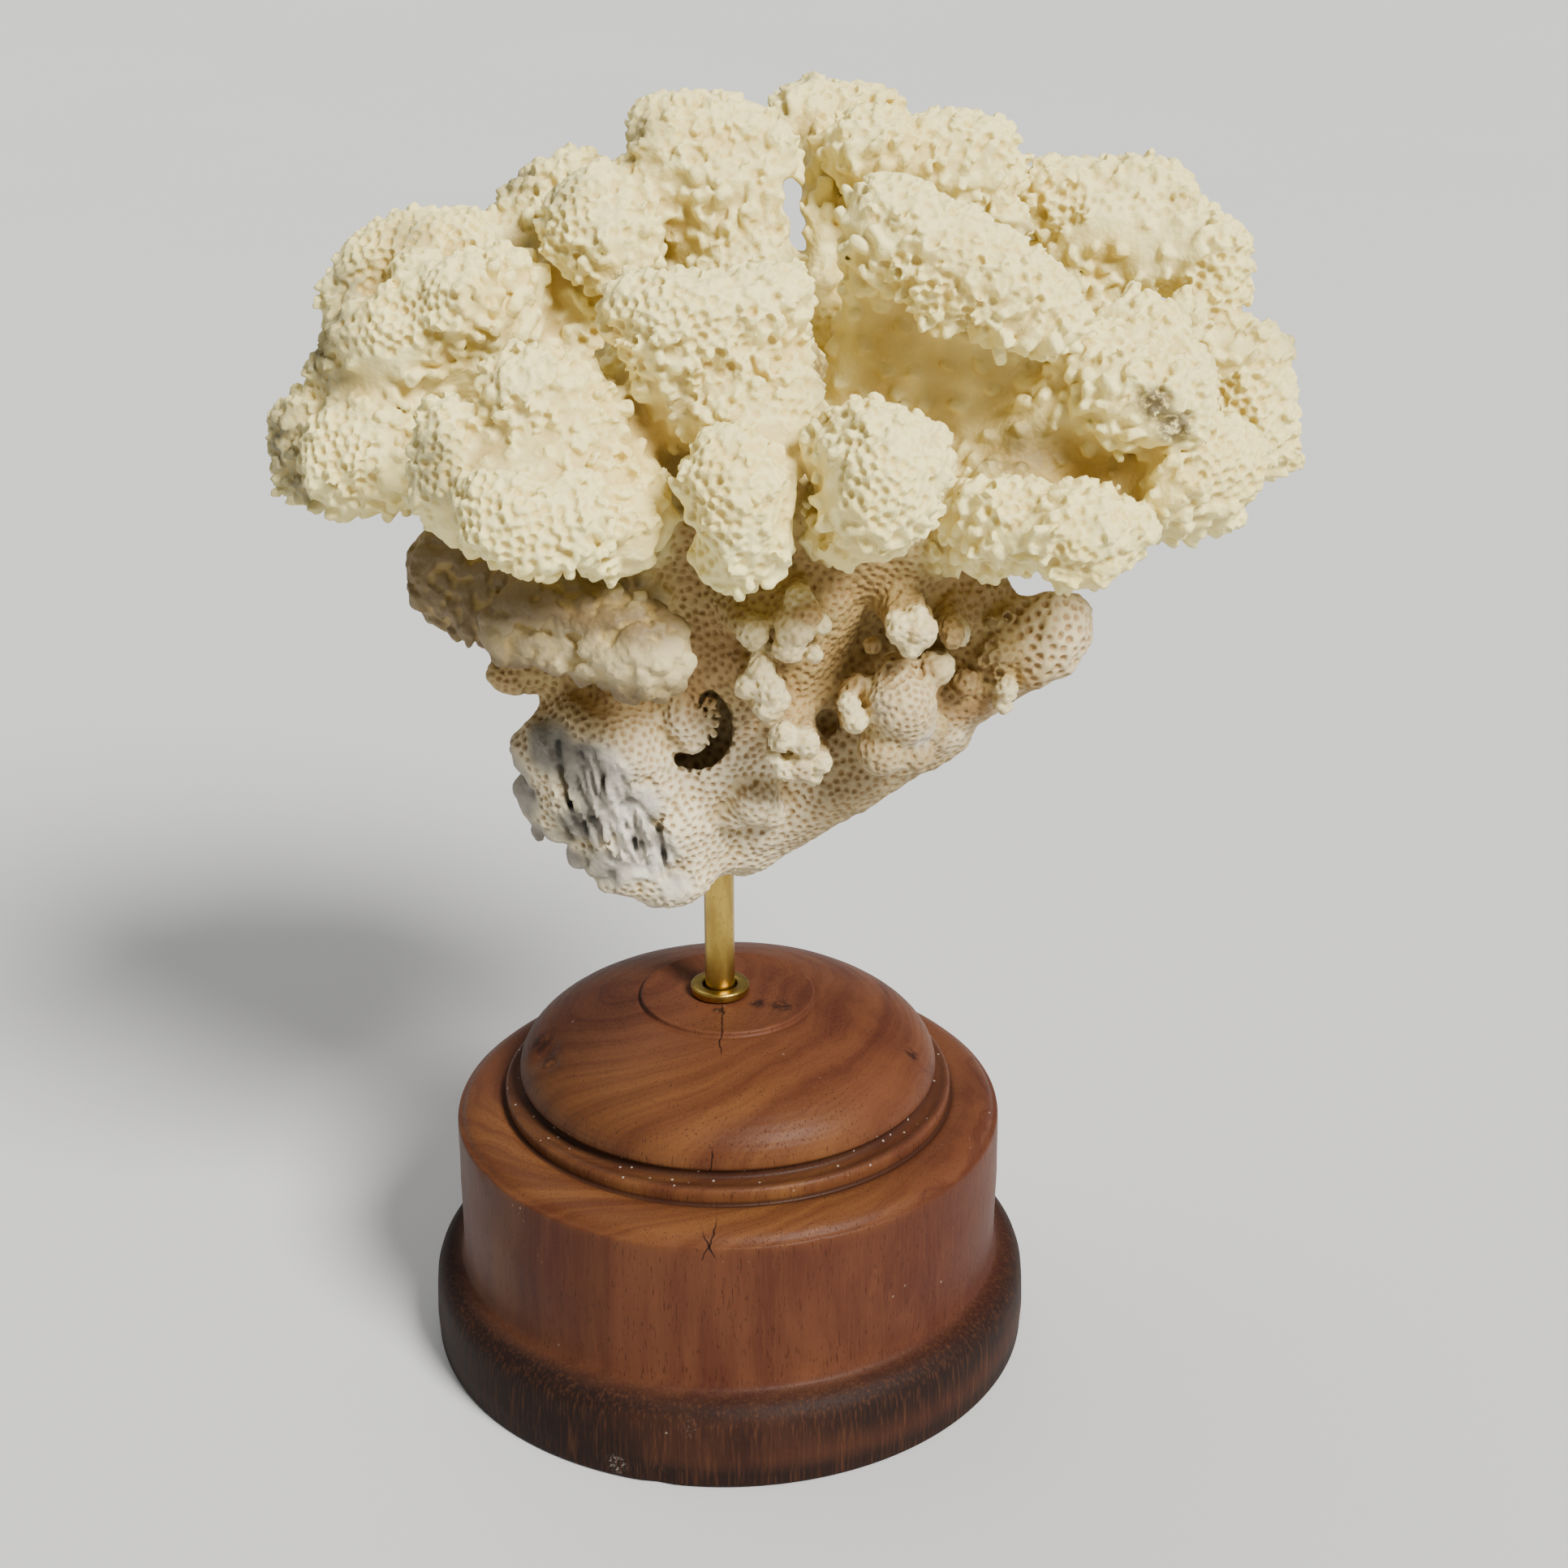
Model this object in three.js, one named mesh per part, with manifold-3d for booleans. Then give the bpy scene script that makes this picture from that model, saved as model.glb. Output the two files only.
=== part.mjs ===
// A head of white cauliflower coral on a brass rod, over a turned wooden stand.
// Millimetres, +Z up. The origin is the middle of the stand's underside. -Y is the side it is seen from.

import * as THREE from "three";
import { mergeVertices } from "three/addons/utils/BufferGeometryUtils.js";
import Module from "manifold-3d";

const wasm = await Module();
wasm.setup();

// Driving dimensions.
const STAND_R = 61.5; // foot of the stand
const STAND_H = 75.9; // to the top of its small disc
const DRUM_R = 55.3;
const DOME_R = 42.3;
const DISC_R = 17.5;
const ROD_R = 3;
const ROD_X = -1.5; // the rod stands a little off the stand's middle
const COLLAR_R = 5.9;
const COLLAR_T = 1.7;
const SLEEVE_DEEP = 8; // the collar's sleeve, down in the wood
const ROD_IN_WOOD = 34;
const ROD_TOP = 118; // the rod ends inside the coral, which starts at about 100
const SLEEVE_R = 4.3;
const GAP = 0.3; // between pieces that touch
const LUMP = 1.6; // how far a knob of the coral stands out
const LUMP_SHARE = 0.38; // the share of points that are knobs
const TURNING_SIDES = 23;

const material = (color, roughness, metalness = 0) =>
  new THREE.MeshStandardMaterial({ color, roughness, metalness });
const IVORY = material(0xeee5c8, 0.75);
const TAN = material(0xcdb38a, 0.8);
const BRASS = material(0xb08d3c, 0.35, 1);
const WOOD = material(0x7a4526, 0.5);

const vec = (p) => new THREE.Vector3(...p);

// A closed geometry as a solid that can be joined and cut.
function solid(geometry) {
  const bare = geometry.clone();
  bare.deleteAttribute("normal");
  bare.deleteAttribute("uv");
  const merged = mergeVertices(bare, 1e-3);
  return new wasm.Manifold(
    new wasm.Mesh({
      numProp: 3,
      vertProperties: new Float32Array(merged.attributes.position.array),
      triVerts: new Uint32Array(merged.index.array),
    }),
  );
}

function mesh(name, made, look) {
  const { vertProperties, triVerts } = made.getMesh();
  const geometry = new THREE.BufferGeometry()
    .setAttribute("position", new THREE.BufferAttribute(vertProperties, 3))
    .setIndex(new THREE.BufferAttribute(triVerts, 1));
  geometry.computeVertexNormals();
  const piece = new THREE.Mesh(geometry, look);
  piece.name = name;
  return piece;
}

const join = (solids) => solids.reduce((all, one) => all.add(one));

// Cutting can leave chips: the piece is its largest body.
const largest = (made) =>
  made.decompose().reduce((best, one) => (one.volume() > best.volume() ? one : best));

// Points on a stretch of an ellipse about (cr, cz), from one angle to another, in degrees.
function arc(cr, cz, rr, rz, from, to, steps) {
  return Array.from({ length: steps + 1 }, (_, i) => {
    const a = THREE.MathUtils.degToRad(from + ((to - from) * i) / steps);
    return [cr + rr * Math.cos(a), cz + rz * Math.sin(a)];
  });
}

function turned(outline, sides = TURNING_SIDES) {
  const points = outline.map(([r, z]) => new THREE.Vector2(r, z));
  return solid(new THREE.LatheGeometry(points, sides).rotateX(Math.PI / 2));
}

function cylinder(r, bottom, top, x = 0, sides = TURNING_SIDES) {
  const rod = new THREE.CylinderGeometry(r, r, top - bottom, sides);
  return solid(rod.rotateX(Math.PI / 2).translate(x, 0, (top + bottom) / 2));
}

function standSolid() {
  const footBand = 13.6;
  const drumFoot = 22.4;
  const drumTop = 50.8;
  const domeFoot = 60;
  const domeRise = 16.5;
  const discLow = STAND_H - 1.1;
  const outline = [
    [0, 0],
    [STAND_R - 0.8, 0],
    ...arc(STAND_R - 5, 0.8, 5, footBand * 1.9, 0, 26, 2), // the foot's band, leaning in
    ...arc(DRUM_R + 0.4, footBand, 5, 7.6, 12, 66, 2), // its round shoulder
    [DRUM_R, drumFoot],
    [DRUM_R, drumTop - 0.7],
    ...arc(46.6, drumTop - 0.3, DRUM_R - 47.2, 3.9, 6, 84, 3), // the sloping rim
    [45.5, 55.6],
    [44.6, 57.3], // the bead round the dome
    [42.4, 57.7],
    [41.3, 58.3], // the groove
    ...arc(0, domeFoot, DOME_R, domeRise, 2, 64, 6), // the dome
    [DISC_R, discLow],
    [DISC_R, STAND_H],
    [0, STAND_H],
  ];
  return turned(outline)
    .subtract(cylinder(ROD_R + GAP, STAND_H - ROD_IN_WOOD - GAP, STAND_H + 1, ROD_X))
    .subtract(cylinder(SLEEVE_R + GAP, STAND_H - SLEEVE_DEEP - GAP, STAND_H + 1, ROD_X));
}

// A flange on the wood with a sleeve below it. The rod stands loose in its bore.
function collarSolid() {
  const bore = ROD_R + 0.45;
  const foot = STAND_H - SLEEVE_DEEP;
  const low = STAND_H + GAP;
  const outline = [
    [bore, foot],
    [SLEEVE_R, foot],
    [SLEEVE_R, low],
    [COLLAR_R, low],
    [COLLAR_R, low + COLLAR_T],
    [bore, low + COLLAR_T],
    [bore, foot],
  ];
  return turned(outline, 16).translate([ROD_X, 0, 0]);
}

// A fixed number from 0 to 1 for a place, so that the knobs fall the same way each time.
function chance(x, y, z) {
  const s = Math.sin(x * 12.9898 + y * 78.233 + z * 37.719) * 43758.5453;
  return s - Math.floor(s);
}

// A limb is a ball, or for a blade a prism, drawn out from one point to another.
// half is [wide, thick] at each end, and wide is the way that the flat of a blade runs.
// grow swells it, to cut its neighbours.
function limb(shape, grow = 0) {
  const { from, to, half, halfTo = half, wide = [1, 1, 0], knobs = 1, form } = shape;
  const axis = vec(to).sub(vec(from)).normalize();
  const u = vec(wide).addScaledVector(axis, -vec(wide).dot(axis)).normalize();
  const v = u.clone().cross(axis);
  const drawn = form.clone();
  const place = drawn.attributes.position;
  const n = new THREE.Vector3();
  const p = new THREE.Vector3();
  for (let i = 0; i < place.count; i++) {
    n.fromBufferAttribute(place, i);
    const up = n.y > 0;
    const [w, t] = up ? halfTo : half;
    const key = [n.x, n.y, n.z].map((c, k) => Math.round(c * 50) + (k + 1) * from[k]);
    const out = grow + (chance(...key) < LUMP_SHARE ? LUMP * knobs : 0);
    p.copy(vec(up ? to : from))
      .addScaledVector(axis, n.y * ((w + t) / 2 + out))
      .addScaledVector(u, n.x * (w + out))
      .addScaledVector(v, n.z * (t + out));
    place.setXYZ(i, p.x, p.y, p.z);
  }
  return solid(drawn);
}

const BUD = new THREE.IcosahedronGeometry(1, 0);
const BALL = new THREE.SphereGeometry(1, 7, 5);
const FINE_BALL = new THREE.SphereGeometry(1, 9, 7);
const PRISM = new THREE.CylinderGeometry(1, 1, 1, 8);

const roll = (from, r, to, rTo, knobs = 1, form = BALL) => ({
  from,
  to,
  half: [r, r],
  halfTo: [rTo, rTo],
  knobs,
  form,
});
const crest = (...ends) => roll(...ends, 1, FINE_BALL);
const smooth = (...ends) => roll(...ends, 0.25);
const bud = (...ends) => roll(...ends, 0.5, BUD);
const blade = (from, half, to, halfTo, wide) => ({
  from,
  to,
  half,
  halfTo,
  wide,
  knobs: 0.6,
  form: PRISM,
});

const build = (limbs, grow = 0) => join(limbs.map((l) => limb(l, grow)));

// The trunk: an upside-down cone that leans left at its foot, where the colony broke off.
const TRUNK = [
  roll([-7, -2, 113], 11, [-3, 0, 130], 17, 0.5),
  roll([-22, -12, 133], 15, [-9, -5, 115], 12.5, 0.5, FINE_BALL), // the broken stump
  roll([1, 0, 114], 12, [38, -2, 139], 12, 0.5), // the long lower right edge
  roll([37, -2, 139], 12, [53, -4, 149], 8, 0.5),
  roll([0, 0, 138], 20, [6, 0, 164], 27, 0.5, FINE_BALL),
  roll([22, 0, 147], 14, [41, -2, 162], 13, 0.5),
  roll([-13, -4, 148], 14, [-33, -6, 168], 11, 0.5),
  smooth([-31, -10, 151], 5, [-40, -13, 149.5], 4.6), // a small dark lobe under the left shelf
  { ...blade([-12, 3, 178], [17, 30], [28, 3, 178], [17, 30], [0, 0, 1]), form: BALL },
];

// Small branchlets that hang on the face of the trunk, each drawn from its root to its tip.
const BRANCHLETS = [
  bud([8, -22, 167], 4, [14, -31, 168], 4.8),
  bud([2, -22, 166], 3.4, [6, -31, 165.5], 3.8),
  bud([5, -22, 156], 4, [9, -31, 150], 4),
  bud([12, -16, 142], 4.6, [14, -25, 137], 5),
  bud([20, -15, 146], 3, [23, -24, 145], 3.8),
  bud([32, -18, 165], 4, [34, -28, 163.5], 5),
  bud([40, -14, 163], 2.8, [42, -23, 161.5], 3.6),
  roll([30, -12, 145], 6.2, [33, -22, 143], 6.6, 0.5),
  bud([48, -6, 155], 3.2, [51, -13, 154], 3.8),
  bud([48, -6, 146], 3, [52, -13, 145], 3.8),
];

// Hollows in the trunk's face.
const HOLLOWS = [
  roll([-4, -30, 140], 3, [0, -22, 146], 3.4, 0),
  roll([19, -27, 144], 2.2, [20, -16, 146], 2.4, 0),
];

// Each frond is a thin blade that ends in thick rolls. Its root is lost in the trunk.
const FRONDS = {
  frond_front_left: [
    blade([-8, -14, 182], [12, 8], [-28, -40, 200], [14, 8], [0.6, 0.2, 1]),
    roll([-46, -41, 203], 5.6, [-45, -43, 195], 6.2),
    roll([-33, -42, 212], 5.8, [-24, -38, 208], 5.8),
    crest([-35, -55, 194], 7.6, [-25, -54, 193], 7.8),
    roll([-20, -46, 191], 6.8, [-14, -42, 189], 7),
    smooth([-33, -41, 200], 7.8, [-19, -36, 195], 7.8),
  ],
  frond_front_middle: [
    blade([5, -14, 186], [11, 6], [4, -42, 195], [10, 6], [0, 0, 1]),
    crest([3, -52, 199.5], 7, [5, -50, 188.5], 7),
  ],
  frond_front_knob: [
    blade([20, -14, 182], [9, 8], [25, -42, 192], [10, 8], [0, 0, 1]),
    crest([27, -55, 204], 8.6, [27, -55, 199], 9),
    roll([19, -48, 203], 4.6, [20, -46, 198], 5),
    smooth([21, -44, 188], 5, [27, -46, 190], 6),
  ],
  frond_centre: [
    blade([6, -16, 188], [11, 7], [1, -28, 216], [12, 6.5], [1, 0, 0]),
    crest([-11, -36, 223], 6.8, [7, -34, 223], 7),
  ],
  frond_right_centre: [
    blade([30, -4, 190], [18, 4.5], [40, -15, 221], [19, 5], [1, 0, -0.55]),
    crest([30, -20, 234], 8, [42, -23, 228], 7.4),
    roll([43, -23, 227], 7.4, [55, -26, 220], 6.4),
  ],
  frond_left_low: [
    blade([-22, 0, 180], [9, 7], [-64, -6, 191], [8, 6.5], [0, 0, 1]),
    roll([-68, -11, 192], 6.8, [-61, -13, 189], 7.4),
    roll([-77, -4, 193.5], 5.4, [-76, -5, 187], 5.6),
  ],
  frond_left_high: [
    blade([-16, 2, 190], [11, 7], [-46, -3, 212], [14, 7], [0.4, 0, 1]),
    roll([-62, 2, 220], 5.6, [-46, 4, 225], 5.6),
    roll([-63, -10, 213], 6.2, [-45, -14, 219], 6.4),
    roll([-67, -6, 206], 5.8, [-60, -10, 206], 5.8),
    roll([-39, -4, 221], 4, [-40, -6, 211], 4.2),
  ],
  frond_upper_left: [
    blade([-12, 4, 192], [10, 7], [-24, 4, 222], [12, 7], [1, 0.6, 0]),
    roll([-22, -6, 232.5], 7.6, [-18, -8, 229], 7.8),
    roll([-34, 11, 229.5], 7, [-27, 12, 233], 7.2),
  ],
  frond_top_left: [
    blade([0, 4, 196], [11, 7], [0, 2, 232], [12, 8], [1, 0, 0]),
    roll([-6, 4, 242], 7.8, [2, 6, 242.5], 7.8),
    smooth([5, 2, 239], 5.6, [7, -4, 224], 5.6),
  ],
  frond_top_middle: [
    blade([18, 6, 198], [10, 3.4], [19, 21, 240], [10, 3.8], [0, 1, 0]),
    roll([16.5, 25, 243.5], 6.4, [27, 28, 243.5], 6.6),
  ],
  frond_top_right: [
    blade([35, 6, 196], [9, 5], [37, 10, 230], [13, 6], [1, 0, 0]),
    roll([29, 8, 240], 7.4, [46, 11, 240.5], 7.8),
  ],
  frond_right_high: [
    blade([38, 12, 190], [10, 7], [70, 15, 218], [13, 7], [0.3, 0, 1]),
    roll([64, 20, 229], 7.6, [79, 18, 229.5], 7.6),
    roll([81, 14, 225], 7, [88.5, 8, 220], 7),
  ],
  frond_right_far: [
    blade([40, 4, 184], [10, 7], [84, 4, 196], [10, 7], [0, 0, 1]),
    roll([91, 6, 202], 7.4, [97, 2, 193], 7.6),
  ],
  frond_right_upper: [
    blade([38, -8, 186], [10, 7], [68, -20, 203], [11, 6.5], [0.3, 0.2, 1]),
    roll([75, -14, 214], 5.8, [73, -18, 209], 6),
    roll([72, -24, 207], 7, [80, -26, 203], 6.6),
    roll([84, -21, 194], 7.6, [87, -18, 189], 7.2),
  ],
  frond_right_low: [
    blade([34, -12, 180], [9, 7], [56, -30, 187], [9, 7], [0, 0, 1]),
    roll([62, -36, 185], 6.8, [69, -34, 186], 6),
    roll([48, -31, 184], 5.8, [51, -34, 187], 6),
  ],
  shelf_left: [
    blade([-12, -10, 169], [9, 7], [-30, -24, 169], [12, 5.5], [1, -0.6, 0]),
    smooth([-48, -18, 172], 5.8, [-35, -30, 168], 6),
    smooth([-35, -33, 168], 6, [-15, -41, 165.5], 6.4),
  ],
  stub_right: [roll([45, -3, 150], 6.6, [52, -5, 153], 6.6), roll([58, -6, 154], 7.2, [60, -6, 155], 7)],
  frond_back_left: [
    blade([-14, 16, 184], [12, 7], [-36, 40, 203], [13, 7], [1, 0.6, 0.6]),
    roll([-50, 36, 205], 7.4, [-34, 46, 208], 7.6),
    roll([-34, 50, 196], 7, [-22, 54, 193], 7),
  ],
  frond_back_middle: [
    blade([6, 20, 186], [12, 7], [4, 46, 200], [13, 7], [1, 0, 0]),
    roll([-6, 46, 206], 7.4, [12, 48, 207], 7.6),
    roll([2, 56, 193], 7, [10, 56, 191], 7),
  ],
  frond_back_right: [
    blade([34, 20, 184], [12, 7], [48, 42, 200], [12, 7], [1, -0.6, 0.4]),
    roll([42, 46, 206], 7.2, [56, 40, 206], 7.6),
    roll([48, 48, 193], 7, [60, 43, 191], 7),
  ],
  frond_back_far_right: [
    blade([44, 14, 182], [9, 7], [74, 26, 194], [10, 6.5], [0, 0, 1]),
    roll([78, 28, 203], 7.2, [84, 24, 196], 7.6),
  ],
  frond_back_far_left: [
    blade([-26, 10, 178], [10, 7], [-56, 20, 188], [9, 7], [0, 0, 1]),
    roll([-62, 22, 195], 7.2, [-62, 20, 185], 7.4),
  ],
  shelf_back: [
    blade([-2, 20, 168], [10, 7], [-6, 36, 166], [13, 6], [1, 0, 0]),
    smooth([-22, 36, 168], 6.4, [-5, 41, 165], 6.8),
  ],
  stub_back: [roll([22, 18, 158], 7, [28, 28, 160], 7), roll([29, 36, 162], 7, [36, 34, 160], 6.8)],
};

// The broken face is a rough plane: a block whose near side is pushed about.
function breakage() {
  const size = 60;
  const depth = 30;
  const block = new THREE.BoxGeometry(size, size, depth, 8, 8, 1);
  const place = block.attributes.position;
  for (let i = 0; i < place.count; i++)
    if (place.getZ(i) < 0)
      place.setZ(i, place.getZ(i) + 3 * chance(place.getX(i), place.getY(i), 5));
  const facing = new THREE.Vector3(-0.45, -0.85, -0.27).normalize();
  const turn = new THREE.Quaternion().setFromUnitVectors(new THREE.Vector3(0, 0, 1), facing);
  const middle = new THREE.Vector3(-23, -20, 127).addScaledVector(facing, depth / 2);
  return solid(block.applyQuaternion(turn).translate(middle.x, middle.y, middle.z));
}

function coralSolids() {
  const bore = cylinder(ROD_R + GAP, 90, ROD_TOP + GAP, ROD_X, 16);
  const limbs = [...TRUNK, ...BRANCHLETS];
  const trunk = build(limbs).subtract(breakage()).subtract(bore).subtract(build(HOLLOWS));
  const made = { trunk: largest(trunk) };
  let taken = build(limbs, GAP);
  for (const [name, parts] of Object.entries(FRONDS)) {
    made[name] = largest(build(parts).subtract(taken));
    taken = taken.add(build(parts, GAP));
  }
  return made;
}

const rodSolid = () => cylinder(ROD_R, STAND_H - ROD_IN_WOOD, ROD_TOP, ROD_X, 16);

const specimen = new THREE.Group();
specimen.add(mesh("turned_stand", standSolid(), WOOD));
specimen.add(mesh("brass_collar", collarSolid(), BRASS));
specimen.add(mesh("brass_rod", rodSolid(), BRASS));
for (const [name, made] of Object.entries(coralSolids()))
  specimen.add(mesh(name, made, name === "trunk" ? TAN : IVORY));

export default specimen;
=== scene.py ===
import math

import bpy
import numpy as np
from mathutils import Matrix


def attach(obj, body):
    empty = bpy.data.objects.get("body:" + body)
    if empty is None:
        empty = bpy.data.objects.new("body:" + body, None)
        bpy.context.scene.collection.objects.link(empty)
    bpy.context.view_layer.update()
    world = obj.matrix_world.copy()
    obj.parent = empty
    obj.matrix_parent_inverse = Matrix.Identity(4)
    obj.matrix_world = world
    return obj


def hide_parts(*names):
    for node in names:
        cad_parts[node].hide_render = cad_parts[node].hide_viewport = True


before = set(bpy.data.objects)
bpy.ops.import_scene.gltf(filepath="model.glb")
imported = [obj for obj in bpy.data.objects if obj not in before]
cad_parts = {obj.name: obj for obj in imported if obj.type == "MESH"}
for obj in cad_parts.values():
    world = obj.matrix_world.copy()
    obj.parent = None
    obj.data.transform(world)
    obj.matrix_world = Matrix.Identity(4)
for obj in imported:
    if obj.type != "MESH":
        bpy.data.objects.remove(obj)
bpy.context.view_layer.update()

import openvdb
from mathutils import kdtree

# A head of white cauliflower coral, held up by a brass rod over a turned wooden stand.
# Metres, +Z up. The origin is the middle of the stand's underside. It is seen from -Y.

# THE VIEW
# A hand-held shot from a little above the coral, level from side to side.
# Nothing here is part of the object.

camera = bpy.data.objects.new("camera", bpy.data.cameras.new("camera"))
bpy.context.scene.collection.objects.link(camera)
bpy.context.scene.camera = camera
camera.location = (0.0114, -0.4887, 0.3347)
camera.rotation_euler = (math.radians(66.42), 0, 0)
camera.data.lens = 62.7
camera.data.sensor_width = 36
camera.data.clip_start = 0.01
camera.data.clip_end = 20


def lamp(name, azimuth, elevation, spread, strength, tint=(1, 1, 1)):
    """A soft, far light. Azimuth 0 is behind the camera and 90 is on its right, in degrees."""
    made = bpy.data.lights.new(name, "SUN")
    made.angle = math.radians(spread)
    made.energy = strength
    made.color = tint
    held = bpy.data.objects.new(name, made)
    bpy.context.scene.collection.objects.link(held)
    held.rotation_euler = (math.radians(90 - elevation), 0, math.radians(azimuth))


lamp("window_light", 39, 42, 20, 7.4, (1, 0.985, 0.95))
lamp("ceiling_light", -150, 68, 50, 1.2)
lamp("room_light", -70, 25, 60, 0.06, (0.96, 0.98, 1))


class Value:
    """A socket's output, which can be used in sums."""

    def __init__(self, tree, out):
        self.tree = tree
        self.out = out

    def node(self, kind, settings=None, inputs=None, out=0):
        made = self.tree.nodes.new("ShaderNode" + kind)
        for key, setting in (settings or {}).items():
            if key == "stops":
                ramp = made.color_ramp
                while len(ramp.elements) < len(setting):
                    ramp.elements.new(0.5)
                for stop, (at, colour) in zip(ramp.elements, setting):
                    stop.position = at
                    stop.color = (*colour, 1)
            else:
                setattr(made, key, setting)
        for key, value in (inputs or {}).items():
            if isinstance(value, Value):
                self.tree.links.new(value.out, made.inputs[key])
            elif value is not None:
                made.inputs[key].default_value = value
        return Value(self.tree, made.outputs[out])

    def math(self, operation, *values):
        return self.node("Math", {"operation": operation}, dict(enumerate(values)))

    def __add__(self, other):
        return self.math("ADD", self, other)

    __radd__ = __add__

    def __sub__(self, other):
        return self.math("SUBTRACT", self, other)

    def __rsub__(self, other):
        return self.math("SUBTRACT", other, self)

    def __mul__(self, other):
        return self.math("MULTIPLY", self, other)

    __rmul__ = __mul__

    def __pow__(self, other):
        return self.math("POWER", self, other)

    def step(self, low, high):
        """0 below low and 1 above high, with a soft ramp between, or the other way round."""
        settings = {"interpolation_type": "SMOOTHSTEP", "clamp": True}
        if low <= high:
            ends = {0: self, 1: low, 2: high, 3: 0.0, 4: 1.0}
        else:
            ends = {0: self, 1: high, 2: low, 3: 1.0, 4: 0.0}
        return self.node("MapRange", settings, ends)

    def mix(self, first, second):
        """A colour between two others, by this value."""
        first, second = [c if isinstance(c, Value) else (*c, 1) for c in (first, second)]
        settings = {"data_type": "RGBA", "clamp_factor": True}
        return self.node("Mix", settings, {0: self, 6: first, 7: second}, 2)

    def stretched(self, x, y, z):
        """This place, with each axis scaled."""
        return self.node("VectorMath", {"operation": "MULTIPLY"}, {0: self, 1: (x, y, z)})

    def axis(self, which):
        return self.node("SeparateXYZ", {}, {0: self}, "XYZ".index(which))

    def far_from(self, x, y, z):
        """How far this place is from another."""
        places = {0: self, 1: (x, y, z)}
        return self.node("VectorMath", {"operation": "DISTANCE"}, places, "Value")

    def noise(self, scale, detail=2.0, rough=0.5, warp=0.0):
        sockets = {"Vector": self, "Scale": scale, "Detail": detail}
        sockets.update({"Roughness": rough, "Distortion": warp})
        return self.node("TexNoise", {}, sockets)


def material(name, metallic=0.0, **constants):
    """A new material: its shader node, and the place on the object in millimetres."""
    made = bpy.data.materials.new(name)
    made.use_nodes = True
    shader = made.node_tree.nodes["Principled BSDF"]
    shader.inputs["Metallic"].default_value = metallic
    for key, value in constants.items():
        shader.inputs[key.replace("_", " ")].default_value = value
    start = Value(made.node_tree, None)
    place = start.node("TexCoord", {}, {}, "Object").stretched(1000, 1000, 1000)
    return made, shader, place


def finish_with(shader, colour, roughness, height=None, depth=0.0003, strength=1.0):
    """Plugs colour, roughness and a height for the bump into a shader."""
    tree = shader.id_data
    tree.links.new(colour.out, shader.inputs["Base Color"])
    tree.links.new(roughness.out, shader.inputs["Roughness"])
    if height:
        sockets = {"Height": height, "Distance": depth, "Strength": strength}
        bump = height.node("Bump", {}, sockets)
        tree.links.new(bump.out, shader.inputs["Normal"])


def mesh_object(name, points, faces, look):
    """A mesh from points in metres and faces, each a row of corner numbers."""
    faces = [np.asarray(f, np.int32) for f in faces if len(f)]
    corners = np.concatenate([f.ravel() for f in faces])
    sides = np.concatenate([np.full(len(f), f.shape[1], np.int32) for f in faces])
    data = bpy.data.meshes.new(name)
    data.vertices.add(len(points))
    data.vertices.foreach_set("co", np.asarray(points, np.float32).ravel())
    data.loops.add(len(corners))
    data.loops.foreach_set("vertex_index", corners)
    data.polygons.add(len(sides))
    starts = np.concatenate([[0], np.cumsum(sides)[:-1]]).astype(np.int32)
    data.polygons.foreach_set("loop_start", starts)
    data.polygons.foreach_set("use_smooth", np.ones(len(sides), bool))
    data.update(calc_edges=True)
    made = bpy.data.objects.new(name, data)
    bpy.context.scene.collection.objects.link(made)
    data.materials.append(look)
    return made


floor_look, floor_shader, floor_place = material("pale_floor")
floor_cloud = floor_place.noise(0.004)
finish_with(
    floor_shader,
    floor_cloud.mix((0.55, 0.55, 0.55), (0.57, 0.57, 0.57)),
    floor_cloud * 0.1 + 0.7,
)
floor = mesh_object(
    "floor",
    [(-6, -6, 0), (6, -6, 0), (6, 6, 0), (-6, 6, 0)],
    [np.array([[0, 1, 2, 3]])],
    floor_look,
)

world = bpy.data.worlds.new("studio")
bpy.context.scene.world = world
world.use_nodes = True
world.node_tree.nodes["Background"].inputs["Color"].default_value = (1, 1, 1, 1)
world.node_tree.nodes["Background"].inputs["Strength"].default_value = 0.2

# THE STAND
# One block of reddish brown hardwood, turned on a lathe and polished: a foot with a rounded
# shoulder, a drum, a sloping rim, a bead, a dome and a small raised disc. Its grain stands
# upright. A hole is drilled in its top, a little off the middle, for the rod.

FOOT_R = 61.4
DRUM_R = 55.2
DOME_R = 42.2
DOME_FOOT = 60.0
DOME_RISE = 16.4
DISC_R = 17.5
STAND_H = 75.9
ROD_X = -1.5
ROD_R = 3.0
SLEEVE_HOLE_R = 4.6
ROD_HOLE_R = 3.3
STAND_SIDES = 240


def arc(cr, cz, rr, rz, start, end, steps):
    """Points on a stretch of an ellipse about (cr, cz), between two angles in degrees."""
    turn = np.radians(np.linspace(start, end, steps))
    return list(zip(cr + rr * np.cos(turn), cz + rz * np.sin(turn)))


def evened(outline, gap):
    """An outline with points added, so that none is further than gap from the next."""
    full = [outline[0]]
    for here, there in zip(outline, outline[1:]):
        parts = max(1, math.ceil(math.dist(here, there) / gap))
        for k in range(1, parts + 1):
            full.append(tuple(a + (b - a) * k / parts for a, b in zip(here, there)))
    return np.array(full)


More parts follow.
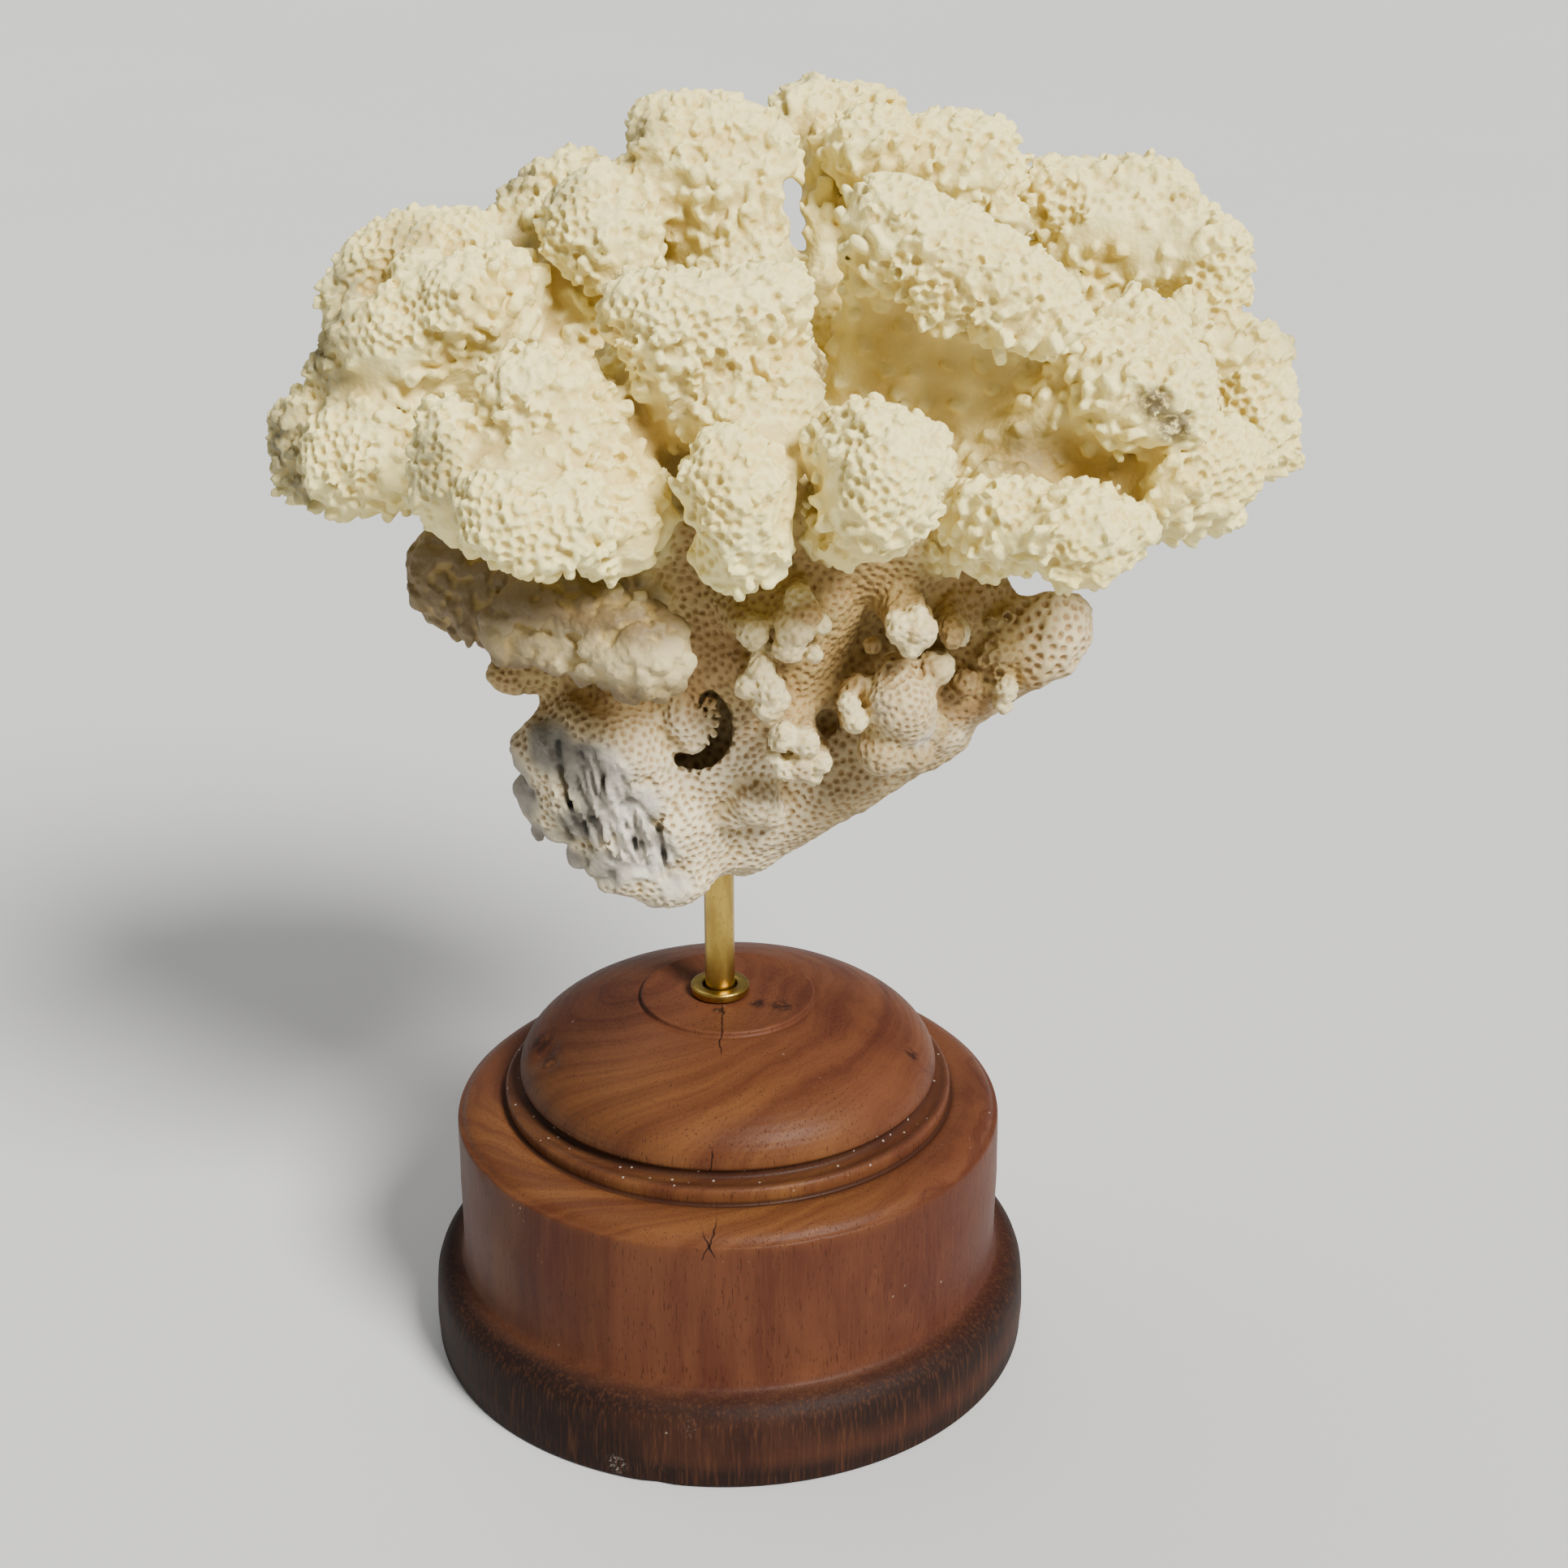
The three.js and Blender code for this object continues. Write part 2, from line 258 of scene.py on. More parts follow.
def turned(name, outline, sides, look, shape=None):
    """A closed turned piece. An outline point is (radius, height, shift along X), in mm."""
    turns = np.linspace(0, 2 * math.pi, sides, endpoint=False)
    r, z, shift = (outline[:, k][:, None] for k in range(3))
    grid = np.stack(
        [
            r * np.cos(turns) + shift,
            r * np.sin(turns),
            z + 0 * turns,
        ],
        -1,
    )
    if shape:
        grid = shape(grid)
    rows = len(outline)
    points = grid.reshape(-1, 3) / 1000
    ids = np.arange(rows * sides).reshape(rows, sides)
    after = np.roll(ids, -1, 1)
    quads = np.stack([ids[:-1], after[:-1], after[1:], ids[1:]], -1).reshape(-1, 4)
    closed = outline[0][0] > 0 and np.allclose(outline[0], outline[-1])
    if closed:
        last = np.stack([ids[-2], after[-2], after[0], ids[0]], -1)
        quads = np.concatenate([quads[: -sides], last])
        return mesh_object(name, points[:-sides], [quads], look)
    # Both ends are at the middle, so each is one point with a fan of triangles.
    middle = [len(points), len(points) + 1]
    ends = [grid[0].mean(0) / 1000, grid[-1].mean(0) / 1000]
    fans = [
        np.stack([np.full(sides, middle[0]), after[1], ids[1]], -1),
        np.stack([np.full(sides, middle[1]), ids[-2], after[-2]], -1),
    ]
    quads = quads[sides : -sides]
    used = np.concatenate([points[sides:-sides], ends])
    fans = [np.where(f >= len(points), f - 2 * sides, f - sides) for f in fans]
    return mesh_object(name, used, [quads - sides, *fans], look)


def stand_outline():
    outside = [
        (0, 0),
        (FOOT_R - 1.2, 0),
        *arc(FOOT_R - 1.2, 1.0, 1.1, 1.0, -80, 0, 5),
        (FOOT_R + 0.1, 5.5),
        (FOOT_R - 0.1, 10.5),
        *arc(FOOT_R - 5.4, 12.6, 5.1, 5.6, 12, 74, 9),
        *arc(DRUM_R + 1.2, 20.9, 1.2, 2.4, 250, 190, 5),
        (DRUM_R, 23.0),
        (DRUM_R + 0.15, 36.0),
        (DRUM_R, 49.9),
        *arc(DRUM_R - 0.7, 50.0, 0.7, 0.7, 0, 60, 4),
        *arc(46.4, 50.2, 8.0, 3.6, 10, 90, 12),
        (45.6, 53.5),
        (45.1, 53.5),
        (45.2, 54.2),
        (45.3, 55.3),
        *arc(44.0, 55.9, 1.3, 1.3, 10, 100, 6),
        (42.5, 57.0),
        *arc(41.9, 58.1, 0.8, 0.9, 250, 120, 7),
        *arc(0, DOME_FOOT, DOME_R, DOME_RISE, -1, 64.5, 60),
        (DISC_R + 0.15, 74.6),
        (DISC_R, 75.3),
        *arc(DISC_R - 0.5, STAND_H - 0.5, 0.5, 0.5, 10, 90, 4),
    ]
    # Inside the disc the rings move over to the hole, which isn't quite in the middle.
    top = [
        (DISC_R - 1.5, STAND_H - 0.25, -0.1),
        (12, STAND_H - 0.3, -0.6),
        (SLEEVE_HOLE_R + 0.3, STAND_H - 0.25, ROD_X),
        (SLEEVE_HOLE_R, STAND_H - 0.5, ROD_X),
        (SLEEVE_HOLE_R, 67.6, ROD_X),
        (ROD_HOLE_R, 67.6, ROD_X),
        (ROD_HOLE_R, 41.6, ROD_X),
        (0, 41.6, ROD_X),
    ]
    return evened([(r, z, 0.0) for r, z in outside] + top, 1.4)


def tool_marks(grid):
    """Tool marks, a gouge in the side of the dome and dents along its edges."""
    x, y, z = grid[..., 0], grid[..., 1], grid[..., 2]
    out = np.hypot(x, y)
    turn = np.arctan2(y, x)
    wave = 0.10 * np.sin(2 * turn + 0.7) + 0.05 * np.sin(5 * turn + z * 0.2)
    wave += 0.025 * np.sin(z * 5.1 + 0.4 * np.sin(3 * turn))
    wave = wave * np.clip((out - 8) / 10, 0, 1) * np.clip(z / 3, 0, 1)
    dents = [
        ((-37.0, -9.5, 67.5), 4.2, 1.5),
        ((-34.5, -14.5, 67.0), 2.4, 0.9),
        ((34.5, -20.0, 66.0), 1.6, 0.5),
        ((-8.0, -54.7, 50.4), 2.2, 0.5),
        ((18.0, -52.0, 50.5), 1.8, 0.4),
        ((-13.0, -60.0, 2.0), 3.0, 0.6),
        ((-47.0, -28.5, 50.5), 2.0, 0.4),
    ]
    for place, size, depth in dents:
        far = np.linalg.norm(grid - np.array(place), axis=-1)
        wave = wave - depth * np.exp(-((far / size) ** 2) * 1.6)
    moved = grid.copy()
    scale = np.where(out > 1, (out + wave) / np.maximum(out, 1), 1)
    top = np.clip((z - 60) / 8, 0, 1) * (out < 41)
    moved[..., 0] = x * (1 + (scale - 1) * (1 - 0.5 * top))
    moved[..., 1] = y * (1 + (scale - 1) * (1 - 0.5 * top))
    moved[..., 2] = z + np.where(top > 0, wave * 0.7 * top, 0)
    return moved


wood, wood_shader, place = material("turned_wood", Specular_IOR_Level=0.1)
x, y, z = (place.axis(a) for a in "XYZ")
out = (x * x + y * y) ** 0.5
# Growth rings round a pith that is off to one side, and fibres that run upright.
drift = place.stretched(1, 1, 0.35).noise(0.045, 3)
pith_x = x + 11.0 + drift * 16
pith_y = y - 6.0
ring_r = (pith_x * pith_x + pith_y * pith_y) ** 0.5
ring_place = ring_r.node("CombineXYZ", {}, {0: ring_r, 1: z * 0.03, 2: drift * 3})
rings = ring_place.noise(0.42, 4, 0.6)
broad = place.stretched(1, 1, 0.6).noise(0.03, 3, 0.55, 0.4)
fibre = place.stretched(1, 1, 0.05).noise(1.7, 3, 0.6)
flecks = place.stretched(1, 1, 0.16).noise(2.6, 2, 0.5).step(0.62, 0.7)
redness = (rings * 0.7 + broad * 0.75 - 0.2).step(0.3, 0.75)
brown = redness.mix((0.112, 0.039, 0.017), (0.058, 0.016, 0.009))
ochre = rings.step(0.3, 0.7).mix((0.158, 0.064, 0.02), (0.088, 0.029, 0.011))
# Painted light: the front of the dome and of the rim is painted a lighter, yellower brown.
lit_front = (y + x * 0.35).step(-10, -38) * z.step(48, 53) * (1 - z.step(71, 77))
colour = (lit_front * (broad * 0.8 + 0.3)).mix(brown, ochre)
# The foot is stained darker, and darker still along a band on its right shoulder. Painted shade
# darkens the foot's left, away from the light, and the cove under the drum.
foot = z.step(19.5, 15.5)
left_shade = (x * -1 + broad * 50).step(18, 60)
band = z.step(19, 14) * z.step(6, 12) * (x + broad * 30).step(15, 42)
stain_and_shade = foot * (left_shade * 0.5 + 0.66) + band * 0.3 + z.step(21, 18) * z.step(15, 18) * 0.4
# Painted shade on the left of the dome, away from the light, and along the bottom edge of the foot.
stain_and_shade = stain_and_shade + left_shade * z.step(56, 60) * 0.3 + z.step(7, 1) * 0.4
stain_and_shade = stain_and_shade.math("MINIMUM", stain_and_shade, 0.96)
colour = stain_and_shade.mix(colour, (0.011, 0.006, 0.005))
colour = (fibre.step(0.45, 0.75) * 0.4).mix(colour, (0.1, 0.038, 0.016))
colour = (flecks * 0.6).mix(colour, (0.035, 0.012, 0.006))
# Dirt in the grooves.
groove = z.step(52.9, 53.4) * z.step(54.8, 53.9) * out.step(46.6, 45.4)
groove = z.step(56.5, 57.6) * z.step(60.2, 58.6) + groove
colour = (groove * 0.75).mix(colour, (0.025, 0.01, 0.007))
# Dark spots beside the collar and on the dome's shoulder, and the dirty gouge on its left.
stain = 0
for spot, r in (
    ((6.4, -5, 75.9), 2.2), ((11, -6, 75.9), 2.6), ((-1.5, -8, 75.9), 1.6),
    ((37.1, -10, 67), 2.0), ((-37, -5, 66.5), 3.4), ((-35.5, -13, 67), 2.2),
):
    stain = place.far_from(*spot).step(r * 1.25, r * 0.4) + stain
colour = (stain * place.noise(0.7, 3).step(0.35, 0.6) * 0.85).mix(colour, (0.015, 0.006, 0.005))
# Hairline drying cracks at the front: down the dome, forked on the rim, and from the collar.
wander = (place.noise(0.4, 3) - 0.5) * 1.6
cracks = 0
for at, lean, low, high in (
    (-2.6, 0.05, 58, 64), (-4.4, 0.5, 47.5, 54), (-1.2, -0.6, 48, 53),
):
    line = x - at - (z - low) * lean - wander
    line = line.math("ABSOLUTE", line).step(0.22, 0.06)
    cracks = line * z.step(low, low + 1) * z.step(high, high - 1.5) * y.step(-20, -30) + cracks
line = x + 0.9 - wander
line = line.math("ABSOLUTE", line).step(0.22, 0.06) * z.step(72, 74)
cracks = line * y.step(-5, -7) * y.step(-24, -20) + cracks
colour = (cracks * 0.85).mix(colour, (0.012, 0.005, 0.004))
# Specks of white dust, thickest in the groove under the dome, and two chalky smears.
specks = place.node("TexVoronoi", {}, {"Vector": place, "Scale": 0.45}, "Distance").step(0.14, 0.07)
dusty = place.noise(0.07, 2).step(0.62, 0.7) * 0.6 + z.step(55, 57) * z.step(61, 58)
smears = place.far_from(-6.4, -58.2, 13).step(3.4, 0.6)
smears = smears + place.far_from(-20.8, -57.4, 3.2).step(3, 0.6)
dust = specks * dusty + smears * place.noise(1.6, 4, 0.7).step(0.5, 0.68) * 0.8
colour = (dust * 0.6).mix(colour, (0.5, 0.44, 0.37))
height = fibre * 0.35 + flecks * -0.6 + rings * 0.3 - cracks * 2
rough = fibre * 0.12 + stain_and_shade * 0.15 + 0.4
finish_with(wood_shader, colour, rough, height, 0.0002, 0.6)

stand = turned("stand", stand_outline(), STAND_SIDES, wood, tool_marks)
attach(stand, "root")
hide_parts("turned_stand")

# THE COLLAR AND THE ROD
# A flanged brass ferrule is let into the top of the wood. A plain brass rod stands loose
# in it and goes up into a hole in the coral. Both are dulled by handling.

brass, brass_shader, place = material("aged_brass", 1.0)
smear = place.stretched(1, 1, 0.25).noise(0.5, 3, 0.6)
spots = place.noise(1.3, 3, 0.6).step(0.56, 0.72)
colour = smear.step(0.3, 0.7).mix((0.5, 0.35, 0.08), (0.38, 0.25, 0.06))
colour = (spots * 0.6).mix(colour, (0.26, 0.17, 0.06))
scratches = place.stretched(1, 1, 0.04).noise(6, 2)
finish_with(brass_shader, colour, smear * 0.16 + spots * 0.18 + 0.22, scratches, 0.00004, 0.5)

FLANGE_R = 5.9
FLANGE_LOW = STAND_H + 0.05
FLANGE_TOP = STAND_H + 1.95
BORE_R = 3.45
FERRULE_SIDES = 72
ferrule = [
    (BORE_R, 68.2),
    (4.2, 68.2),
    (4.3, FLANGE_LOW),
    (FLANGE_R - 0.2, FLANGE_LOW),
    *arc(FLANGE_R - 0.35, FLANGE_LOW + 0.4, 0.35, 0.35, -70, 0, 4),
    *arc(FLANGE_R - 0.45, FLANGE_TOP - 0.5, 0.45, 0.45, 0, 80, 5),
    (4.4, FLANGE_TOP - 0.02),
    *arc(BORE_R + 0.5, FLANGE_TOP - 0.5, 0.5, 0.45, 100, 180, 5),
    (BORE_R, 68.2),
]
ferrule = evened([(r, z, ROD_X) for r, z in ferrule], 0.8)
collar = turned("collar", ferrule, FERRULE_SIDES, brass)
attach(collar, "root")
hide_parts("brass_collar")

ROD_LOW = 41.95
ROD_TOP = 118.0
ROD_SIDES = 48
rod_outline = [
    (0, ROD_LOW),
    (ROD_R - 0.4, ROD_LOW),
    (ROD_R, ROD_LOW + 0.4),
    (ROD_R, ROD_TOP - 0.4),
    (ROD_R - 0.4, ROD_TOP),
    (0, ROD_TOP),
]
rod_outline = evened([(r, z, ROD_X) for r, z in rod_outline], 2.0)
rod = turned("rod", rod_outline, ROD_SIDES, brass)
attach(rod, "root")
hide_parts("brass_rod")

# THE CORAL'S BODY
# One colony of limestone, so its pieces share one surface. Each solid of the frame becomes a
# field of distances on a grid of 1 mm, and the fields are run together as growth would.

CORAL = [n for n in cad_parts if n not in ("turned_stand", "brass_collar", "brass_rod")]
REACH = 8.0
FILLET = 4.5
KNOB_ROOM = 0.8


def solid_mesh(node):
    data = node.data
    data.calc_loop_triangles()
    points = np.empty(len(data.vertices) * 3, np.float32)
    data.vertices.foreach_get("co", points)
    corners = np.empty(len(data.loop_triangles) * 3, np.int32)
    data.loop_triangles.foreach_get("vertices", corners)
    return points.reshape(-1, 3) * 1000, corners.reshape(-1, 3).astype(np.uint32)


coral_meshes = {n: solid_mesh(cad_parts[n]) for n in CORAL}
grid_low = np.floor(np.min([m[0].min(0) for m in coral_meshes.values()], 0)) - 8
grid_high = np.ceil(np.max([m[0].max(0) for m in coral_meshes.values()], 0)) + 8
GRID = tuple((grid_high - grid_low).astype(int) + 1)


def distances(points, corners):
    """How far each place on the grid is from a closed mesh, negative inside it."""
    field = openvdb.FloatGrid.createLevelSetFromPolygons(
        points=np.ascontiguousarray(points - grid_low, dtype=np.float32),
        triangles=corners,
        transform=openvdb.createLinearTransform(voxelSize=1.0),
        halfWidth=REACH,
    )
    full = np.empty(GRID, np.float32)
    field.copyToArray(full)
    return full


def run_together(a, b, blend):
    """The nearer of two fields, with a fillet where they meet."""
    near = np.maximum(blend - np.abs(a - b), 0) / blend
    return np.minimum(a, b) - near * near * blend / 4


def blurred(field, spread):
    reach = math.ceil(spread * 2.5)
    weights = np.exp(-np.arange(-reach, reach + 1) ** 2 / (2 * spread**2))
    weights = (weights / weights.sum()).astype(np.float32)
    for axis in range(3):
        pad = [(reach, reach) if a == axis else (0, 0) for a in range(3)]
        padded = np.pad(field, pad, mode="edge")
        size = field.shape[axis]
        field = np.zeros_like(field)
        for k, weight in enumerate(weights):
            part = [slice(None)] * 3
            part[axis] = slice(k, k + size)
            field += weight * padded[tuple(part)]
    return field


def along_axis(values, axis):
    """A row of numbers, turned to run along one axis of a grid."""
    return values.reshape([-1 if a == axis else 1 for a in range(3)])


def finer(field, times):
    """A field on a finer grid, smooth between its values."""
    for axis in range(3):
        size = field.shape[axis]
        at = np.arange(int((size - 1) * times) + 1) / times
        low = np.minimum(at.astype(int), size - 2)
        part = along_axis((at - low).astype(np.float32), axis)
        field = np.take(field, low, axis) * (1 - part) + np.take(field, low + 1, axis) * part
    return field


def cloud(cell, seed):
    """Smooth random values from -1 to 1 all over the grid, with lumps of about cell mm."""
    coarse = [math.ceil(n / cell) + 3 for n in GRID]
    made = np.random.default_rng(seed).uniform(-1, 1, coarse).astype(np.float32)
    for axis in range(3):
        at = np.arange(GRID[axis]) / cell + 1
        low = at.astype(int)
        t = (at - low).astype(np.float32)
        t = along_axis(t * t * (3 - 2 * t), axis)
        made = np.take(made, low, axis) * (1 - t) + np.take(made, low + 1, axis) * t
    return made


def stamp(field, pitch, start, end, r_start, r_end, blend, cut=False):
    """Adds a round-ended finger to a field, or cuts one out of it. In mm."""
    a, b = np.asarray(start) - grid_low, np.asarray(end) - grid_low
    margin = max(r_start, r_end) + blend + pitch
    low = np.maximum(np.floor((np.minimum(a, b) - margin) / pitch).astype(int), 0)
    high = np.ceil((np.maximum(a, b) + margin) / pitch).astype(int) + 1
    part = tuple(slice(p, q) for p, q in zip(low, high))
    here = field[part]
    x, y, z = (
        along_axis(((np.arange(here.shape[k]) + low[k]) * pitch - a[k]).astype(np.float32), k)
        for k in range(3)
    )
    way = (b - a).astype(np.float32)
    t = (x * way[0] + y * way[1] + z * way[2]) / max(float(way @ way), 1e-6)
    t = np.clip(t, 0, 1)
    off = (x - t * way[0]) ** 2 + (y - t * way[1]) ** 2 + (z - t * way[2]) ** 2
    made = np.sqrt(off) - (r_start + (r_end - r_start) * t)
    if cut:
        field[part] = -run_together(-here, made, blend)
    else:
        field[part] = run_together(here, made, blend)


own = {n: distances(*coral_meshes[n]) for n in CORAL}
body = own["trunk"].copy()
for n in CORAL:
    if n != "trunk":
        body = run_together(body, own[n], FILLET)


def share_of(*names):
    """1 where the colony belongs to these pieces, and 0 elsewhere."""
    mine = np.minimum.reduce([own[n] for n in names])
    rest = np.minimum.reduce([own[n] for n in CORAL if n not in names])
    return blurred(np.clip((rest - mine) / 3 + 0.5, 0, 1), 1.5)


# The trunk and the stub are bare and pitted, and the thin shelf is smooth and waxy. The
# fronds are drawn in a little, to leave room for their knobs.
bare = share_of("trunk", "stub_right")
stub = share_of("stub_right")
shelf = share_of("shelf_left")
body = blurred(body - 0.3 + KNOB_ROOM * (1 - np.maximum(bare, shelf)), 1.2)


def swell(*lobes):
    """Rounds out the body with lobes, each (x, y, z, radius) in mm."""
    for *place, r in lobes:
        stamp(body, 1.0, place, place, r, r, FILLET)


def dig(*hollows):
    """Hollows out the body."""
    for *place, r in hollows:
        stamp(body, 1.0, place, place, r, r, FILLET, cut=True)


def marked(spots, soft=2.5):
    """1 inside some round spots and 0 outside them, all over the grid."""
    field = np.full(GRID, REACH, np.float32)
    for *place, r in spots:
        stamp(field, 1.0, place, place, r, r, 0.5)
    return np.clip(0.5 - field / soft, 0, 1)


# THE BROKEN STUMP
# The colony was broken off at its lower left. The break shows the grey white inside of the
# coral, with a fan of fibres and some cracks, and its lower edge is rough and dark.

swell(
    (-35.5, -16, 136.9, 2.6), (-36.7, -15, 132, 2.9), (-34.6, -13, 125.6, 4),
    (-31.2, -12, 120.5, 5), (-26.7, -11, 114.4, 5.3), (-23.2, -11, 111, 4.7),
    (-17, -11, 108, 5), (-11.2, -12, 106.2, 3.5), (-20.4, -15, 119.7, 6.2),
    (-26.3, -17, 127.3, 6.7), (-31.4, -17, 134.8, 5.5), (-8.4, -11, 107.5, 4.4),
    (-14.4, -14, 115, 5.6),
)
broken = marked([
    (-31.1, -20, 137.4, 5.4), (-23.5, -22, 133.6, 7.2), (-18.5, -21, 124.9, 7),
    (-15, -18, 115.1, 6.5), (-25.5, -18, 123.6, 6.7), (-21.5, -14, 112.4, 6.2),
    (-9.9, -14, 106.7, 3.8), (-33.6, -19, 139.7, 3), (-31, -13, 119, 5),
])
rough_edge = marked([
    (-38.5, -15, 133, 4.5), (-37, -14, 125.5, 5), (-34, -12, 118.5, 5.5), (-28, -11, 111.5, 5),
    (-20.5, -11, 105.5, 4.5), (-13, -11, 103, 4),
])
# Where the skin is rubbed through to the same grey white, on two lumps.
rubbed = marked([(30.5, -27, 148.9, 2.6), (35.9, -25, 142.8, 2.8), (53.1, -11, 143.5, 2)])


# THE FRONDS AT THE FRONT
# Four short fronds that lean towards the viewer: a broad dished one with a thick rim on the
# left, a narrow roll of three lobes, a round knob, and the tall one behind them.

swell(  # frond_front_left
    (-44.8, -42, 205, 4.5), (-44.3, -44, 199.6, 4.9), (-46.2, -42, 194.2, 4.4),
    (-45.8, -38, 188.6, 3.4), (-35.2, -41, 212, 3.7), (-31.6, -42, 214.1, 4.6),
    (-27.5, -40, 211.2, 4.7), (-22.9, -36, 208.6, 3.7), (-33, -44, 207.6, 3.5),
    (-30.1, -44, 206.7, 2.7), (-30.7, -42, 200.4, 6.1), (-22.8, -38, 199.5, 5.8),
    (-37.5, -43, 199.6, 4.7), (-25.1, -46, 194.1, 6), (-18.3, -41, 194.6, 5.3),
    (-35.1, -54, 193.1, 6.5), (-29.6, -56, 192.3, 6.5), (-24.7, -52, 192.4, 6),
    (-38.4, -50, 194.9, 4.6), (-17.1, -44, 189.8, 6.1), (-14.3, -42, 185.1, 3.9),
    (-13.1, -40, 192.6, 3.3), (-12, -41, 187.4, 2.5), (-20.7, -45, 183.6, 2.5),
    (-15.9, -43, 182.2, 2), (-25.7, -44, 201, 5.5), (-28.8, -47, 197.7, 4.9),
    (-20.5, -42, 196.4, 5), (-33.2, -46, 197.6, 4.4), (-22.6, -38, 203.8, 4.7),
)
# The fan's right edge is thin.
dig(
    (-7.7, -44, 189.8, 2.4), (-8.4, -44, 183.1, 2.1),
)
swell(  # frond_front_middle
    (2.2, -50, 201.7, 4.3), (3.2, -53, 198.4, 5.7), (3.1, -53, 193.3, 5.6),
    (4.4, -49, 185.7, 4.7), (0.1, -47, 184.4, 3.6), (8.1, -48, 184.8, 3.7),
    (9.2, -48, 198, 3.8), (9.9, -48, 191.1, 3.4), (-1.4, -50, 197.5, 3.3),
    (6.4, -38, 200.9, 5.8), (10.8, -30, 202.6, 5.9), (5.7, -45, 180.7, 1.4),
)
swell(  # frond_front_knob
    (27.4, -54, 203.2, 6.7), (27.4, -56, 198.2, 6.4), (24.1, -50, 205.2, 5.1),
    (30.8, -50, 205.2, 5.4), (32.2, -52, 199.5, 5.7), (20.7, -46, 201.9, 3.7),
    (20.2, -44, 195.6, 3.2), (21.9, -44, 187.6, 4.4), (29.2, -46, 189, 3.9),
    (24.1, -52, 195.3, 5.2), (36.4, -48, 202.5, 1.9), (35, -47, 205.7, 2.2),
)
swell(  # frond_centre
    (-11.9, -36, 223.7, 5.9), (-6.4, -39, 225.1, 6.1), (-0.3, -38, 224.1, 5.8),
    (5.8, -35, 222.7, 5.6), (9.9, -33, 225.7, 4.9), (11.3, -30, 217.2, 4.6),
    (6.4, -32, 214.9, 4.6), (-9.2, -38, 219.6, 4.1), (-1.7, -38, 219, 4.1),
    (2.1, -26, 207.6, 5.1), (9.1, -25, 206.6, 5.4), (11.3, -26, 200.3, 6.2),
    (-4.9, -28, 209.6, 3.4), (14.1, -24, 211.4, 3.7), (-8.8, -34, 213.3, 5.3),
    (-3, -36, 210.3, 5.2), (3, -38, 210.2, 5), (7.8, -36, 211.8, 5), (11.3, -36, 210.3, 4.7),
    (-4.8, -32, 204.2, 5.3), (0.9, -38, 205.2, 5), (-9.6, -20, 197.1, 5.8),
    (-14.3, -24, 207, 4.8), (-16.4, -26, 212.6, 4.5), (9.9, -37, 204.2, 5.8),
    (5.7, -38, 205.2, 4.7),
)

# THE FRONDS ON THE LEFT
# A fan of three stacked rolls, a low cluster of upright lobes under it, a thin waxy shelf
# below those, and a pair of lobes above, towards the crown.

swell(  # frond_left_high
    (-63.7, 2, 223.3, 4.8), (-57, 3, 226, 5.6), (-48.3, 4, 226.5, 5.3), (-43.6, 4, 225.8, 4.1),
    (-65.7, -1, 220, 4.4), (-66.8, -3, 215.6, 4.4), (-46.3, -14, 220.1, 6),
    (-44.6, -12, 222.8, 4.6), (-58.5, -12, 216.3, 5.5), (-63.6, -10, 213.3, 4.6),
    (-59.2, -12, 210.9, 4.6), (-54, -12, 215.6, 4.3), (-68.3, -4, 206.4, 5.6),
    (-66.1, -5, 203.3, 5.3), (-71.3, -2, 202.8, 4.2), (-61.3, -9, 205.2, 4.4),
    (-52.9, -12, 207.9, 2.3), (-48.4, -13, 209.2, 2.2), (-38.6, -6, 224.4, 3.8),
    (-38, -7, 219.5, 4.1), (-38.6, -8, 214.6, 4.1), (-35.9, -4, 221.3, 2.2),
    (-36.1, -5, 216.5, 1.9), (-48.2, -6, 205.9, 5), (-42, -8, 208.6, 4.4),
    (-47.6, -8, 213.1, 5.2), (-53, -8, 221.9, 5.2), (-56.8, -8, 205.7, 5.3),
    (-50.3, -11, 210.9, 4.3),
)
swell(  # frond_left_low
    (-76.4, -3, 195.2, 5.5), (-77.6, -3, 187.1, 5.2), (-67.7, -12, 197, 4.4),
    (-68.6, -13, 192, 4.8), (-69, -13, 186.6, 5), (-61.6, -14, 196.8, 4.4),
    (-62.2, -15, 191.1, 4.7), (-62.7, -14, 185.9, 4.4), (-58.3, -12, 190.9, 4.7),
    (-60.2, -12, 200.8, 3.2), (-57.3, -8, 196.6, 4.1),
)
swell(  # shelf_left
    (-49.9, -19, 172.4, 5), (-49.8, -19, 167, 4.1), (-44, -25, 164.9, 4.1),
    (-36.4, -33, 164.8, 3.9), (-28.8, -38, 164.7, 3.1), (-35.8, -28, 172.2, 4.3),
    (-29.6, -34, 170.3, 4.9), (-22.2, -38, 169.7, 4.8), (-14.9, -41, 169.3, 4.5),
    (-10.4, -42, 168.1, 3.7), (-18.5, -43, 165, 4.8), (-12.7, -45, 164.7, 5.1),
    (-9.6, -43, 164, 3.4), (-22.9, -40, 164.7, 3.4),
)
# The shelf is two plates, the upper one lying on the lower.
dig(
    (-39.6, -31, 171.7, 1.3), (-36.5, -34, 170.0, 1.3), (-32.9, -38, 168.8, 1.3),
    (-28.9, -41, 167.6, 1.3), (-25.4, -43, 166.2, 1.3),
)
swell(  # frond_upper_left
    (-23.7, -5, 234, 5.9), (-18.2, -7, 231.1, 5.9), (-19.4, -8, 227.4, 4),
    (-26.2, -6, 230.2, 3.9), (-18.3, -2, 236.5, 4.9), (-34.7, 10, 230.4, 5.3),
    (-29.4, 11, 235.1, 5.2), (-36.9, 8, 226.8, 3.3), (-24.7, 12, 237.4, 3),
    (-29.2, 2, 220.3, 3.7), (-23.3, 0, 217.1, 3.2), (-30.5, 4, 223.9, 3.5),
    (-34.6, 6, 223.4, 2.7), (-25.8, -2, 202.5, 7.4), (-28, 0, 208.1, 6.2),
    (-20.9, -12, 197.7, 5.6),
)

